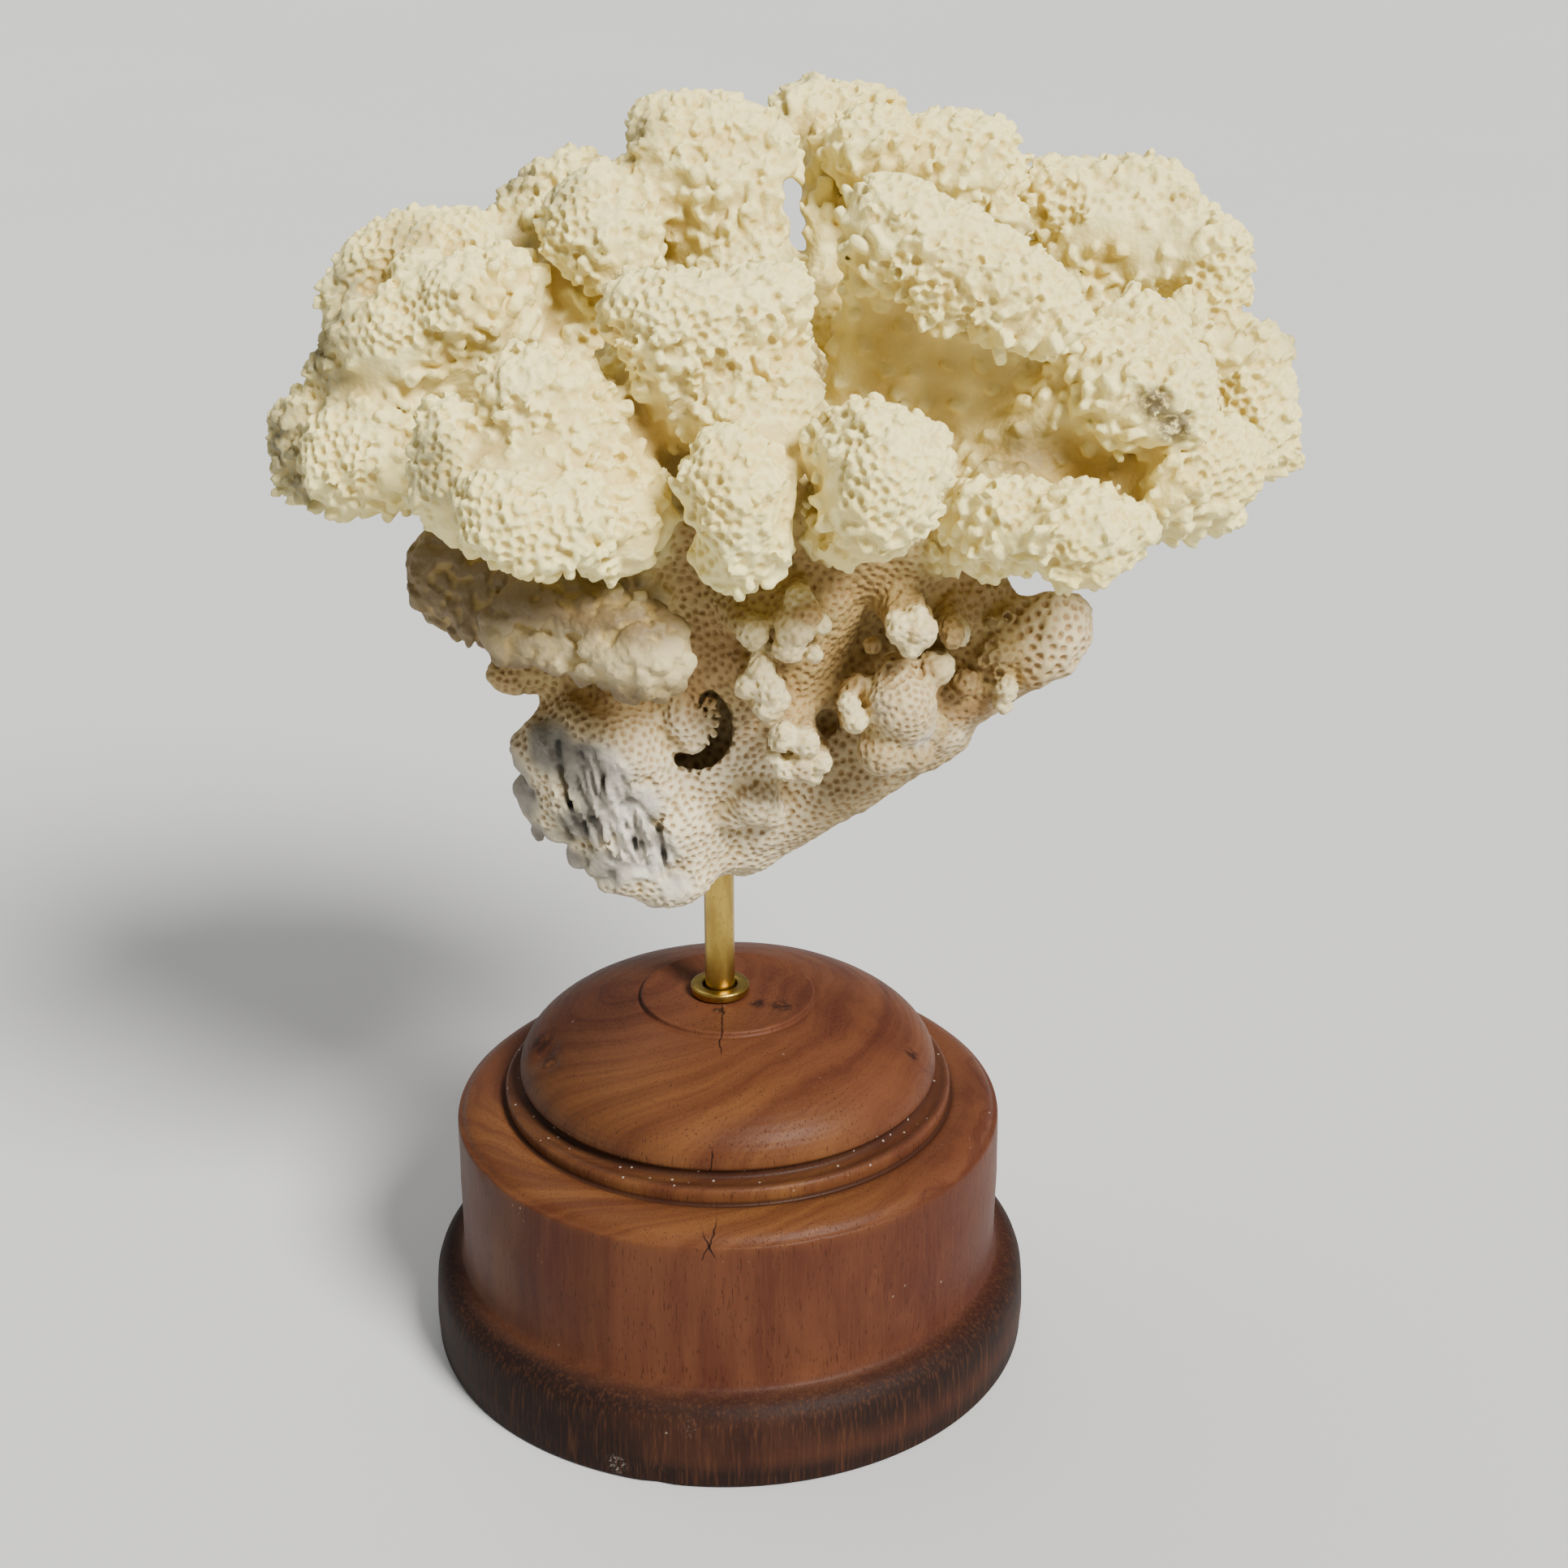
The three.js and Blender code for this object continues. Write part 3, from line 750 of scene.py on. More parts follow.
# THE CROWN
# Three fronds that stand up: a broad one, a thin one seen on edge, and a wide crest.

swell(  # frond_top_left
    (-7.5, 4, 246.9, 5.5), (-0.3, 5, 247.1, 5.5), (5.5, 4, 244.7, 4.9), (-9.6, 0, 241.9, 4.5),
    (9.1, 2, 241.5, 4.1), (-1, -1, 238.9, 6.6), (6.2, 0, 234.7, 6.1), (-4.1, 1, 228.6, 5.5),
    (4.7, -2, 227.1, 6.1), (9.1, -4, 223.2, 4.6), (-10.4, 3, 248.5, 3.5), (1.8, -6, 221.4, 5.2),
)
swell(  # frond_top_middle
    (14.3, 24, 247.4, 3.9), (19.5, 26, 245.6, 5), (26.4, 28, 245.3, 4.8),
    (30.2, 28, 244.7, 2.7), (16.5, 25, 250.5, 1.6), (16.5, 22, 239.2, 3), (17.3, 20, 233.6, 3),
    (18, 17, 225.2, 3.2), (18.8, 13, 217, 3.6), (19.8, 8, 208.3, 4.2),
)
swell(  # frond_top_right
    (50.7, 8, 231.1, 3.2), (24.4, 6, 243.6, 4.7), (29.2, 6, 243.3, 5), (38.4, 10, 242.2, 5.6),
    (45.2, 12, 240.3, 6.5), (41.4, 9, 237, 4.7), (49.8, 13, 237.6, 4.1), (35.4, 8, 240.4, 3.5),
)

# THE FRONDS ON THE RIGHT
# A wide fan with a heavy crest that overhangs a smooth hollow, then four more that step down
# round the side, and a pitted stub on the trunk below them.

swell(  # frond_right_centre
    (55.1, -10, 206.6, 2.6), (28.7, -20, 237.1, 5), (32.8, -22, 234.3, 6),
    (38.4, -23, 231.3, 6.1), (44, -24, 228.8, 6.5), (50.2, -25, 225.9, 6.1),
    (56.3, -26, 223, 5), (59.5, -26, 219.8, 3.4), (37.1, -24, 225.7, 4.7),
    (30.2, -19, 230.2, 4.8), (27.8, -16, 225.2, 2.8), (48.2, -26, 221.9, 4.2),
    (41.3, -25, 223.8, 3.9),
)
swell(  # frond_right_high
    (53.5, 6, 229.3, 2.9), (59.6, 16, 232.6, 4.2), (63, 18, 233.7, 4.2), (69.1, 18, 232.8, 5.4),
    (76.4, 17, 232.7, 5.7), (82.3, 15, 229.8, 5.4), (87.9, 10, 225.2, 5.4), (90.6, 8, 221.2, 6),
    (83.6, 10, 222.5, 6), (67.3, 13, 227.5, 6.3), (74.7, 12, 226.3, 6.3), (90.9, 6, 216.4, 3.9),
    (78.3, 8, 220.4, 3.3),
)
swell(  # frond_right_far
    (84.6, -2, 214.1, 3.5), (95.9, 4, 204, 6.6), (99.9, 3, 198.1, 6.2), (99.2, 1, 191.7, 6.3),
    (92.4, 4, 207, 4.8), (100, 5, 206.5, 3.9), (94.2, 0, 197.4, 6), (100.3, 1, 187.8, 4.5),
)
swell(  # frond_right_upper
    (75.2, -13, 215.8, 4.5), (72.2, -14, 215.8, 3.6), (78.9, -13, 213.6, 3.7),
    (68.7, -24, 207, 4.7), (74.2, -25, 207.3, 5.2), (79.9, -26, 204.7, 5),
    (85.4, -21, 194.7, 6.6), (89.1, -18, 189.3, 6.4), (79.8, -22, 190.2, 6.1),
    (92, -16, 194.4, 4.4), (81.9, -20, 183.8, 3.9), (64.1, -18, 212.7, 4.3),
    (69, -19, 211.5, 4.3), (88.3, -16, 183.8, 2.6), (82.2, -18, 208.3, 4.6),
)
swell(  # frond_right_low
    (48.2, -31, 187.8, 3.4), (50.4, -32, 183.7, 3.7), (56.9, -38, 186.1, 3.5),
    (62.3, -40, 185.6, 5.3), (64.5, -38, 187.9, 3.9), (66.3, -38, 180.8, 3.7),
    (61.1, -38, 179.7, 2.3), (59.7, -34, 189.2, 2.8), (65, -33, 189.5, 2.8),
    (45.1, -26, 181.7, 4), (53.3, -26, 176.7, 2.6), (47.6, -24, 175.7, 2.9),
    (72.1, -31, 184.1, 3.4), (70.3, -31, 181.1, 2.3), (66.7, -12, 186.6, 6.5),
    (72.8, -15, 188, 6.4), (76.4, -17, 184.1, 5.3), (70.9, -14, 183.9, 5.3),
    (59.3, -28, 184.6, 5.7), (66.5, -28, 183.1, 5.7),
)
# The scoop between the fan's foot and the low crest, and a crease above it.
dig(
    (49.6, -27, 197.4, 3.7), (54.9, -27, 196.2, 4.1), (60.4, -27, 195.3, 4.3),
    (65.4, -27, 194.4, 4.0), (64.0, -33, 211.8, 1.5), (68.1, -33, 212.9, 1.7),
    (72.7, -33, 213.2, 1.7), (77.2, -32, 213.5, 1.7),
)
swell(  # stub_right
    (60.6, -6, 154.2, 7), (64.2, -6, 156.3, 4.6), (58, -6, 151.8, 5.2), (50.9, -9, 154.5, 1.5),
    (50.8, -9, 150.5, 1.5), (50.2, -9, 157.4, 1.4),
)

# THE KNOBS ON THE FRONDS
# The fronds are covered with knobs: low and crowded on the rolls, longer and overlapping like
# petals down their flanks, and few in the hollows between.

FINE = 0.4
random = np.random.default_rng(11)


def sampled(field, points, pitch=1.0):
    """A field's values at points in mm."""
    at = (np.asarray(points) - grid_low) / pitch
    at = np.clip(at, 0, np.array(field.shape) - 1.001)
    low = at.astype(int)
    part = (at - low).astype(np.float32)
    total = 0
    for dx in (0, 1):
        for dy in (0, 1):
            for dz in (0, 1):
                w = np.abs(1 - dx - part[:, 0]) * np.abs(1 - dy - part[:, 1])
                w = w * np.abs(1 - dz - part[:, 2])
                total = total + w * field[low[:, 0] + dx, low[:, 1] + dy, low[:, 2] + dz]
    return total


def inside(field, points):
    """Where points in mm are within a marked place."""
    return sampled(field, points) > 0.5


def surface_of(field, pitch, loose=0.0):
    """The surface of a field: points in mm from the grid's corner, triangles and quads."""
    grid = openvdb.FloatGrid(REACH)
    grid.copyFromArray(np.ascontiguousarray(field))
    points, triangles, quads = grid.convertToPolygons(isovalue=0.0, adaptivity=loose)
    return points * pitch, triangles, quads


def spaced(points, gaps, seed):
    """Picks points at random, none nearer to another than its gap."""
    tree = kdtree.KDTree(len(points))
    for k, point in enumerate(points):
        tree.insert(point, k)
    tree.balance()
    taken = np.zeros(len(points), bool)
    picked = []
    for k in np.random.default_rng(seed).permutation(len(points)):
        if taken[k]:
            continue
        picked.append(k)
        for _, near, _ in tree.find_range(points[k], gaps[k]):
            taken[near] = True
    return np.array(picked)


def unit(ways):
    return ways / (np.linalg.norm(ways, axis=-1, keepdims=True) + 1e-9)


body += 1.0 * cloud(9, 21) + 0.5 * cloud(4.5, 22)
body += np.maximum(broken, rough_edge) * 1.1 * cloud(2.4, 23) + rough_edge * 2.2 * cloud(4.5, 24)
# Growth has filled the clefts with smooth webs.
body -= 9 * np.clip(blurred(np.clip(0.5 - body, 0, 1), 3.5) - 0.56, 0, 0.25)

# How shut in each place is: about 0.3 at the tip of a lobe, and 0.7 down between two.
shut_in = blurred(np.clip(0.5 - body, 0, 1), 5.0)
slope = np.stack(np.gradient(blurred(body, 1.0)), -1)


def facing(points):
    """The way that the surface faces at points in mm."""
    return unit(np.stack([sampled(slope[..., k], points) for k in range(3)], -1))


COLONY_ROOT = np.array([5, 0, 150])


def openness(points):
    """1 on the rolls, which face away from the root and stand out, and 0 in the hollows."""
    shut = sampled(shut_in, points)
    outward = np.sum(facing(points) * unit(points - COLONY_ROOT), -1)
    return np.clip((outward - 0.25) / 0.4, 0, 1) * np.clip((0.55 - shut) / 0.08, 0, 1)


def chip(middle, way, sizes, blend):
    """Adds a knob like a rounded box. Its last half size runs along the way."""
    side = unit(np.cross(way, random.normal(0, 1, 3)))
    axes = np.array([side, np.cross(way, side), way], np.float32)
    reach = max(sizes) + blend
    low = np.maximum(np.floor((middle - grid_low - reach) / FINE).astype(int), 0)
    high = np.ceil((middle - grid_low + reach) / FINE).astype(int) + 1
    part = tuple(slice(p, q) for p, q in zip(low, high))
    here = fine[part]
    x, y, z = (
        along_axis(
            ((np.arange(here.shape[k]) + low[k]) * FINE + grid_low[k] - middle[k]).astype("f4"), k
        )
        for k in range(3)
    )
    far = sum(((x * a[0] + y * a[1] + z * a[2]) / r) ** 4 for a, r in zip(axes, sizes))
    fine[part] = run_together(here, (far**0.25 - 1) * min(sizes), blend)


# Where the surface is smooth and waxy, a honeycomb without knobs, or hung with long knobs.
waxed = marked([
    (72.4, 7, 230.6, 6.8), (81.3, 6, 227.4, 5.0), (30.6, -16, 213.6, 7.4),
    (39.9, -16, 210.9, 7.2), (47.8, -17, 209.5, 5.7), (28.6, -13, 205.5, 5.2),
    (38.0, -14, 204.3, 4.3), (20.6, 7, 221.3, 3.9), (21.4, -11, 215.3, 4.0),
    (14.0, -42, 206.3, 6.0), (17.6, -27, 209.3, 4.8), (44.0, -14, 198.3, 4.9),
    (50.8, -21, 195.9, 5.2), (59.5, -22, 193.8, 5.8), (66.8, -21, 192.9, 4.9),
    (-32.5, -52, 201.7, 4.8), (-26.8, -57, 199.6, 4.5), (-31.9, -60, 198.9, 3.5),
    (9.2, -43, 209.5, 5.2), (11.3, -45, 203.7, 4.6), (7.0, -9, 229.4, 4.0),
], 4)
combed = marked([
    (-34.5, -62, 195.7, 6.6), (-28.6, -62, 193.7, 6.0), (-40.8, -58, 196.6, 5.1),
    (-45.7, -50, 200.1, 4.6), (-45.2, -48, 205.4, 4.6), (-10.8, -45, 225.9, 6.0),
    (-4.1, -46, 223.9, 6.0), (0.5, -44, 219.3, 5.4), (-15.1, -42, 223.1, 4.9),
    (-2.1, -58, 199.8, 4.8), (-0.1, -58, 194.5, 5.1), (-1.4, -56, 204.2, 4.3),
    (-56.0, -4, 228.3, 6.1), (-47.5, -2, 229.3, 5.5), (-62.0, -4, 224.0, 5.2),
    (-57.7, -18, 217.0, 5.4), (-50.3, -19, 220.1, 5.4), (-26.3, -10, 236.8, 5.1),
    (-27.9, -11, 229.9, 4.6), (-70.5, -18, 196.4, 5.5), (-66.0, -21, 192.1, 5.5),
    (32.0, -28, 227.2, 4.7), (36.8, -30, 225.3, 4.7), (43.8, -30, 222.2, 4.4),
    (25.7, -64, 202.5, 5.5), (28.4, -64, 198.5, 4.7), (88.7, -28, 195.6, 5.4),
    (60.7, -44, 182.2, 3.9), (49.8, -37, 189.4, 3.6), (94.8, -20, 196.4, 6.1),
    (94.7, -6, 199.1, 6.2), (62.4, 10, 232.5, 4.7), (90.0, 1, 219.7, 5.9),
    (-38.7, -58, 200.0, 4.0), (-32.0, -63, 191.8, 5.3), (23.8, -62, 205.5, 4.7),
    (30.3, -64, 201.8, 4.5), (92.1, -25, 194.1, 4.9), (-3.1, -51, 186.3, 3.6),
    (-21.7, -5, 210.9, 3.8), (-67.5, -20, 193.9, 4.9),
], 4)
fringed = marked([
    (-1.7, -42, 212.1, 5.4), (4.5, -42, 213.7, 4.9), (-7.1, -42, 213.2, 4.6),
    (-37.4, -12, 222.9, 4.3), (-37.1, -14, 216.1, 4.0), (-13.7, -50, 191.8, 3.5),
    (-13.0, -46, 196.3, 3.6), (-15.9, -48, 184.0, 3.0), (56.1, -32, 219.3, 3.6),
    (49.5, -30, 217.1, 3.6),
], 4)

# For each kind of knob: the gap between them, the half width, how far they stand out and go
# in, how flat they are, the fillet at their foot, and which way they point.
KNOBS = [
    # 0: on the shelf.
    (3.3, (1.4, 2.4), (0.7, 1.6), 1.0, 1.0, 0.7, (1.0, 0.0, 0.4, 0.0)),
    # 1: few and small, where it is waxy.
    (5.2, (1.0, 1.7), (0.3, 1.3), 1.5, 0.9, 0.8, (0.7, 0.6, 0.0, 0.1)),
    # 2: long, in a fringe.
    (3.0, (1.4, 2.0), (2.0, 4.0), 2.0, 0.75, 0.4, (0.6, 0.8, 0.0, 0.2)),
    # 3: low and broad, under a honeycomb.
    (5.0, (1.6, 2.4), (0.2, 0.7), 1.0, 1.0, 1.2, (1.0, 0.0, 0.3, 0.1)),
    # 4: on top of the rolls.
    (2.7, (1.1, 1.8), (0.6, 1.6), 1.5, 0.9, 0.3, (1.0, 0.0, 0.3, 0.2)),
    # 5: down in the hollows.
    (3.9, (1.0, 1.7), (0.3, 1.6), 1.5, 0.8, 0.6, (0.7, 0.6, 0.0, 0.1)),
    # 6: overlapping, down the flanks.
    (2.6, (1.0, 1.8), (1.2, 3.0), 2.0, 0.65, 0.4, (0.5, 0.8, 0.0, 0.15)),
]
fine = finer(body, 1 / FINE)
points = surface_of(body, 1.0)[0] + grid_low
points = points[sampled(bare, points) < 0.5]
crest = openness(points)
kinds = np.select(
    [
        inside(shelf, points),
        inside(fringed, points) & (crest < 0.7),
        inside(waxed, points) & (crest < 0.8),
        inside(combed, points) & (crest > 0.3),
        (sampled(cloud(16, 31), points) > 0.35) & (crest < 0.3),
        crest > random.uniform(0.5, 0.9, len(crest)),
        sampled(shut_in, points) > 0.565,
    ],
    [0, 2, 1, 3, 1, 4, 5],
    6,
)
gaps = np.array([knob[0] for knob in KNOBS])[kinds]
tips = []
for site in spaced(points, gaps, 5):
    _, widths, rises, start, flat, blend, aim = KNOBS[kinds[site]]
    point = points[site]
    out = facing([point])[0]
    growth = unit(point - COLONY_ROOT)
    along = unit(growth - (growth @ out) * out)
    way = unit(np.dot(aim, [out, along, growth, random.normal(0, 1, 3)]))
    r, rise = random.uniform(*widths), random.uniform(*rises)
    long = (start + rise) / 2
    chip(point + way * (rise - long), way, (r, r * flat, long), blend)
    if kinds[site] in (2, 5, 6) and random.random() < 0.4:
        tips.append((point + way * (rise + 0.35), way, r * flat * random.uniform(0.7, 0.85)))
fine += finer(0.35 * cloud(1.7, 33), 1 / FINE)

# Between the crown's first two fronds there is a slit that can be seen through.
for t in np.linspace(0, 1, 16):
    x, z = 12.5 + 1.7 * t + 0.45 * math.sin(14 * t), 240.2 - 11.2 * t
    r = 1.45 - 0.5 * t + 0.25 * math.sin(23 * t)
    stamp(fine, FINE, (x, -12, z), (x + 0.2, 32, z - 9.2), r, r, 0.3, cut=True)

# THE TRUNK
# The old foot of the colony, bare and tan. Small pale branchlets hang on its face between
# some hollows, and it is broken off at its lower left, where the inside shows grey.


def carve(path, r, blend=0.4):
    """Cuts a groove or a hole along a path of places in mm."""
    for start, end in zip(path, path[1:]):
        stamp(fine, FINE, start, end, r, r, blend, cut=True)


for *place, r in [
    (32.9, -25, 148.3, 6.6), (29.5, -24, 138.6, 4.8), (35.4, -23, 138.1, 3.9),
    (38.3, -21, 142.2, 3.6), (-6.9, -17, 142.2, 4.7), (-5.9, -17, 138.1, 3.3),
    (5.9, -15, 124.7, 4.9), (9.2, -14, 121.8, 3.4), (2, -14, 121.1, 3.1),
    (27.5, -22, 158.6, 1.8), (25.4, -22, 150.7, 2.7), (32, -23, 153.5, 3.9),
    (38.7, -22, 153.9, 3.6), (45.3, -14, 148.3, 3),
]:
    stamp(fine, FINE, place, place, r, r, 1.5)

BRANCHLETS = [
    (14.1, -31, 170.8, 2.6), (18.1, -30, 165.5, 1.9), (13.4, -32, 165.5, 3.5),
    (12.3, -32, 162.1, 2.9), (16.8, -31, 160.3, 1.7), (5.9, -31, 164.3, 2.8),
    (7.6, -28, 160.1, 2.3), (7.3, -31, 157.4, 2.6), (5, -31, 154.1, 2.5),
    (8.8, -32, 153.8, 2.9), (8.2, -32, 150.4, 2.3), (10.8, -31, 151.5, 1.9),
    (11.3, -28, 143, 3), (15.3, -28, 141.9, 2.8), (18.3, -27, 137.4, 2.1),
    (11.7, -27, 136.1, 2.2), (9.3, -27, 138.7, 1.6), (16.9, -26, 134.1, 1.6),
    (23.1, -27, 149, 2.2), (24.4, -27, 145.8, 2.5), (32.3, -30, 164.7, 2.9),
    (36.2, -30, 164.3, 2.8), (34.1, -30, 161.5, 2.3), (31.2, -29, 166.2, 1.6),
    (35.5, -29, 167.2, 1.7), (42.9, -20, 160.2, 2.7), (40.2, -22, 154.3, 2.7),
    (53, -14, 146.7, 2.3), (52.4, -14, 143.8, 1.8),
]
for x, y, z, r in BRANCHLETS:
    stamp(fine, FINE, (x, y, z), (x, y, z), r, r, 0.8)
    stamp(fine, FINE, (x, y, z), (x, y + 7, z + 0.5), r * 0.8, r * 0.8, 0.8)

# Small knobs all over the branchlets, and a few with a cup at the foot of the stub.
for x, y, z, r in BRANCHLETS:
    for way in unit(random.normal(0, 1, (int(5 * r), 3)) + (0, -0.4, 0)):
        tip = np.array([x, y, z]) + way * r * 0.8
        stamp(fine, FINE, tip, tip, r * 0.36, r * 0.36, 0.4)
for x, y, z in [
    (49.7, -15, 160.3), (50, -15, 156), (48.6, -15, 153), (52.7, -14, 161.3), (51.6, -14, 150.2),
]:
    stamp(fine, FINE, (x, y + 4, z), (x, y, z), 1.7, 1.6, 0.6)
    carve([(x, y - 2, z + 0.4), (x, y - 0.2, z)], 0.85, 0.1)

# A lobe with an edge like a comb hangs over a deep hook-shaped hollow. To its right is a
# round hole, and to its left a shallow dip.
for x, z, r in [
    (-2.2, 146.1, 1.9), (-1.1, 144.7, 2.0), (-0.3, 142.8, 2.2), (-0.1, 140.5, 2.2),
    (-0.3, 138.2, 2.2), (-1.2, 136.2, 2.0), (-2.6, 134.6, 1.8), (-4.4, 133.8, 1.6),
    (-6.3, 133.8, 1.4), (-7.8, 134.3, 1.3),
]:
    carve([(x, -26, z + 3.4), (x - 0.4, -8, z - 4.2)], r)
carve([(19.1, -28, 145.9), (19.7, -8, 138.2)], 2.2)
carve([(-22.5, -20, 147.1), (-25.6, -17, 148.3)], 2.4, 1.5)
for *place, r in [
    (-1.2, -21, 146.6, 0.9), (-0.7, -21, 144.6, 0.7), (-0.9, -21, 142.7, 0.8),
    (-1.7, -21, 140.7, 0.8), (-3.1, -21, 138.8, 0.8), (-5.2, -21, 137.6, 0.8),
]:
    stamp(fine, FINE, place, (place[0] - 1.5, place[1] + 1, place[2]), r, r * 1.3, 0.5)


def front(x, z):
    """The place on the colony's front at x and z, in mm."""
    across, up = round((x - grid_low[0]) / FINE), round((z - grid_low[2]) / FINE)
    solid = fine[across, :, up] < 0
    return (x, grid_low[1] + np.argmax(solid) * FINE, z)


# The fibres of the break fan out from its top edge, with three open cracks between them.
for t in np.linspace(0, 1, 34):
    sway, r = random.uniform(-1, 1, 10).cumsum() * 0.35, random.uniform(0.45, 0.65)
    down = np.linspace(random.uniform(0.02, 0.25), random.uniform(0.75, 1), 10)
    across = -35 + 21 * t + (7 - 2 * t) * down + sway
    height = 140 - 5 * t * t - (25 + 3 * t) * down + sway * 0.4
    line = [front(x, z) for x, z in zip(across, height)]
    carve([(x, y - 0.15, z) for x, y, z in line], r, 0.2)
for crack in (
    [(-27.2, 129.8), (-24.9, 125.8), (-23, 120.3), (-20.9, 113.3)],
    [(-17.1, 127.9), (-14.7, 124.9), (-12.2, 120.3)],
    [(-30.4, 134.4), (-29, 131.1), (-28.6, 126.5)],
):
    carve([front(x, z) for x, z in crack], 0.75, 0.3)

# THE CUPS
# Every animal of the colony lived in its own cup. The cups crowd the rolls like a honeycomb,
# and stand apart as small round pits on the bare trunk.

# How far apart the cups' middles lie, in mm.
TRUNK_CUPS = 1.62
FROND_CUPS = 1.95
STUB_CUPS = 2.2

plain = fine.copy()
points = surface_of(fine, FINE)[0]
points = points[:: max(1, len(points) // 400000)] + grid_low
whole = sampled(np.maximum(broken, rough_edge), points) < 0.4
open_to = (openness(points) > 0.35) | inside(bare, points) | inside(combed, points)
points = points[open_to & whole]
gaps = np.where(inside(bare, points), 1.3, 1.6) + 0.5 * inside(stub, points)
sites = points[spaced(points, gaps, 6)]


def evened_out(sites, times):
    """Moves crowded sites apart, so that they lie like cells, each with its width."""
    for turn in range(times + 1):
        tree = kdtree.KDTree(len(sites))
        for k, site in enumerate(sites):
            tree.insert(site, k)
        tree.balance()
        moved = sites.copy()
        widths = np.empty(len(sites))
        reach = np.where(inside(bare, sites), TRUNK_CUPS, FROND_CUPS)
        reach = np.where(inside(stub, sites), STUB_CUPS, reach)
        for k, site in enumerate(sites):
            near = tree.find_n(site, 7)[1:]
            away = [(site - np.array(c)) / d * max(0.0, reach[k] - d) for c, _, d in near if d]
            moved[k] += 0.3 * np.sum(away, 0)
            widths[k] = np.mean([d for _, _, d in near[:4]])
        if turn == times:
            return sites, widths
        # Back down onto the surface.
        ways = facing(moved)
        sites = moved - ways * sampled(fine, moved, FINE)[:, None]


sites, widths = evened_out(sites, 4)
where = [inside(field, sites) for field in (stub, bare, shelf, combed)]
ways = unit(facing(sites) + random.normal(0, 0.12, sites.shape))
for site, way, width, on_stub, old, on_shelf, in_comb in zip(sites, ways, widths, *where):
    if on_stub:
        r, lift = random.uniform(0.7, 0.85), -0.2
    elif old:
        r, lift = random.uniform(0.56, 0.66), -0.1
    elif on_shelf:
        r, lift = 0.8, 0.5
    elif in_comb:
        r, lift = min(0.44 * width, 0.95), -0.15
    else:
        r, lift = min(0.42 * width, 0.9), random.uniform(0.1, 0.4)
    middle = site + way * lift
    stamp(fine, FINE, middle, middle + way * 0.8, r, r, 0.1, cut=True)
for place, way, r in tips:
    stamp(fine, FINE, place, place + way * 0.5, r, r, 0.1, cut=True)

# THE PIECES OF THE CORAL
# Each solid of the frame gets back its own share of the colony, with a hair of overlap under its
# neighbour. The limestone is ivory on the crests and tan where it is shut in, a tan that is partly
# its own and partly painted shade.

HALF = 2 * FINE
close_in = blurred(np.clip(0.5 - fine[::2, ::2, ::2] / HALF, 0, 1), 1.6 / HALF)
young = marked(BRANCHLETS, 1.5)
# Where the trunk is rubbed pale, and the palest crests of the fronds.
pale = marked([
    (32.8, -25, 148.2, 6.5), (29.8, -22, 137.7, 4.8), (53.4, -10, 142.5, 2.5),
    (10.5, -14, 124.3, 5.2), (-4.9, -18, 123.6, 7.7), (1.1, -13, 112.8, 6.5), (-8, -20, 141, 5),
    (45, -10, 136, 4), (62, -6, 155, 8), (-32.5, -52, 201.7, 5.1), (-26.8, -57, 199.6, 4.8),
    (-31.9, -60, 198.9, 3.7), (-30.0, -50, 202.9, 4.6), (9.2, -43, 209.5, 5.4),
    (11.3, -45, 203.7, 4.9), (25.7, -64, 203.1, 6.0), (14.0, -42, 206.3, 4.7),
], 6)
# Where a frond's hollow is tan all over: partly its own tan, partly painted shadow under the
# overhanging crest.
hollow_tan_and_shadow_spots = marked([
    (17.6, -27, 211.8, 4.6), (53.5, -22, 194.5, 5.0), (50.2, -24, 192.6, 3.6),
    (58.0, -24, 191.4, 3.6),
    (30.6, -16, 212.8, 6.6), (40.0, -16, 210.1, 6.6), (47.9, -17, 208.7, 5.2),
    (28.7, -13, 204.7, 5.2), (38.1, -14, 203.5, 4.9), (50.8, -21, 195.6, 5.2),
    (59.5, -22, 193.6, 6.0), (66.8, -21, 192.5, 5.2),
    (72.5, -22, 191.6, 4.0), (55.0, -22, 199.0, 3.7),
], 6)
# Rust on the trunk, and painted shadow at two places on the fronds under the overhanging crests, so
# that they stay dark in full light.
rust_and_frond_shadow = marked([
    (54.0, -22, 194.7, 5.2), (50.7, -24, 192.4, 4.2), (17.6, -27, 211.8, 4.2),
    (46.4, -11, 145.0, 8.0), (41.7, -14, 141.8, 4.6), (51.7, -10, 148.4, 4),
    (-4.5, -20, 149.4, 5.4), (-13.6, -17, 147.9, 4.5), (-2.8, -22, 157.8, 4.4),
    (-24.2, -17, 147.1, 5.1), (45.4, -14, 172.3, 6.5), (-26.9, -30, 175, 3.7),
    (-51.5, -10, 175.6, 3), (43.4, -14, 166, 5.4), (2.4, -24, 158.6, 3.5),
], 8)
# Specks of dark dirt.
dirty = marked([
    (75.4, -32.5, 206.8, 3.3), (78.9, -32, 202.6, 3.2), (73.3, -32, 207.5, 1.7),
    (16.5, 25, 252, 1.3), (-82.8, -3, 188.2, 1.3), (-26.4, -36, 177.4, 2),
    (-23.3, -36, 176.2, 1.4),
], 2)
# Painted shade on the outermost lobes, on the left, which face away from the light.
left_lobe_shade_spots = marked([
    (-79.3, -8, 192.2, 6.5), (-77.1, -10, 186.5, 5.9), (-80.1, -8, 196.5, 4.4),
    (-72.1, -7, 208.4, 4.7), (-67.9, -12, 215.7, 4.3), (-69.9, -10, 204.8, 4.4),
    (-66.3, -6, 221.4, 3.8), (-47.9, -49, 198.5, 3.5), (-47.8, -48, 202.5, 3.3),
    (-36.7, 10, 236.4, 3.8), (-35.0, 3, 226.7, 3.2), (-27.9, -8, 238.4, 2.9),
    (-14.5, -2, 247.1, 3.4), (-55.4, -3, 229.5, 2.9),
], 8)


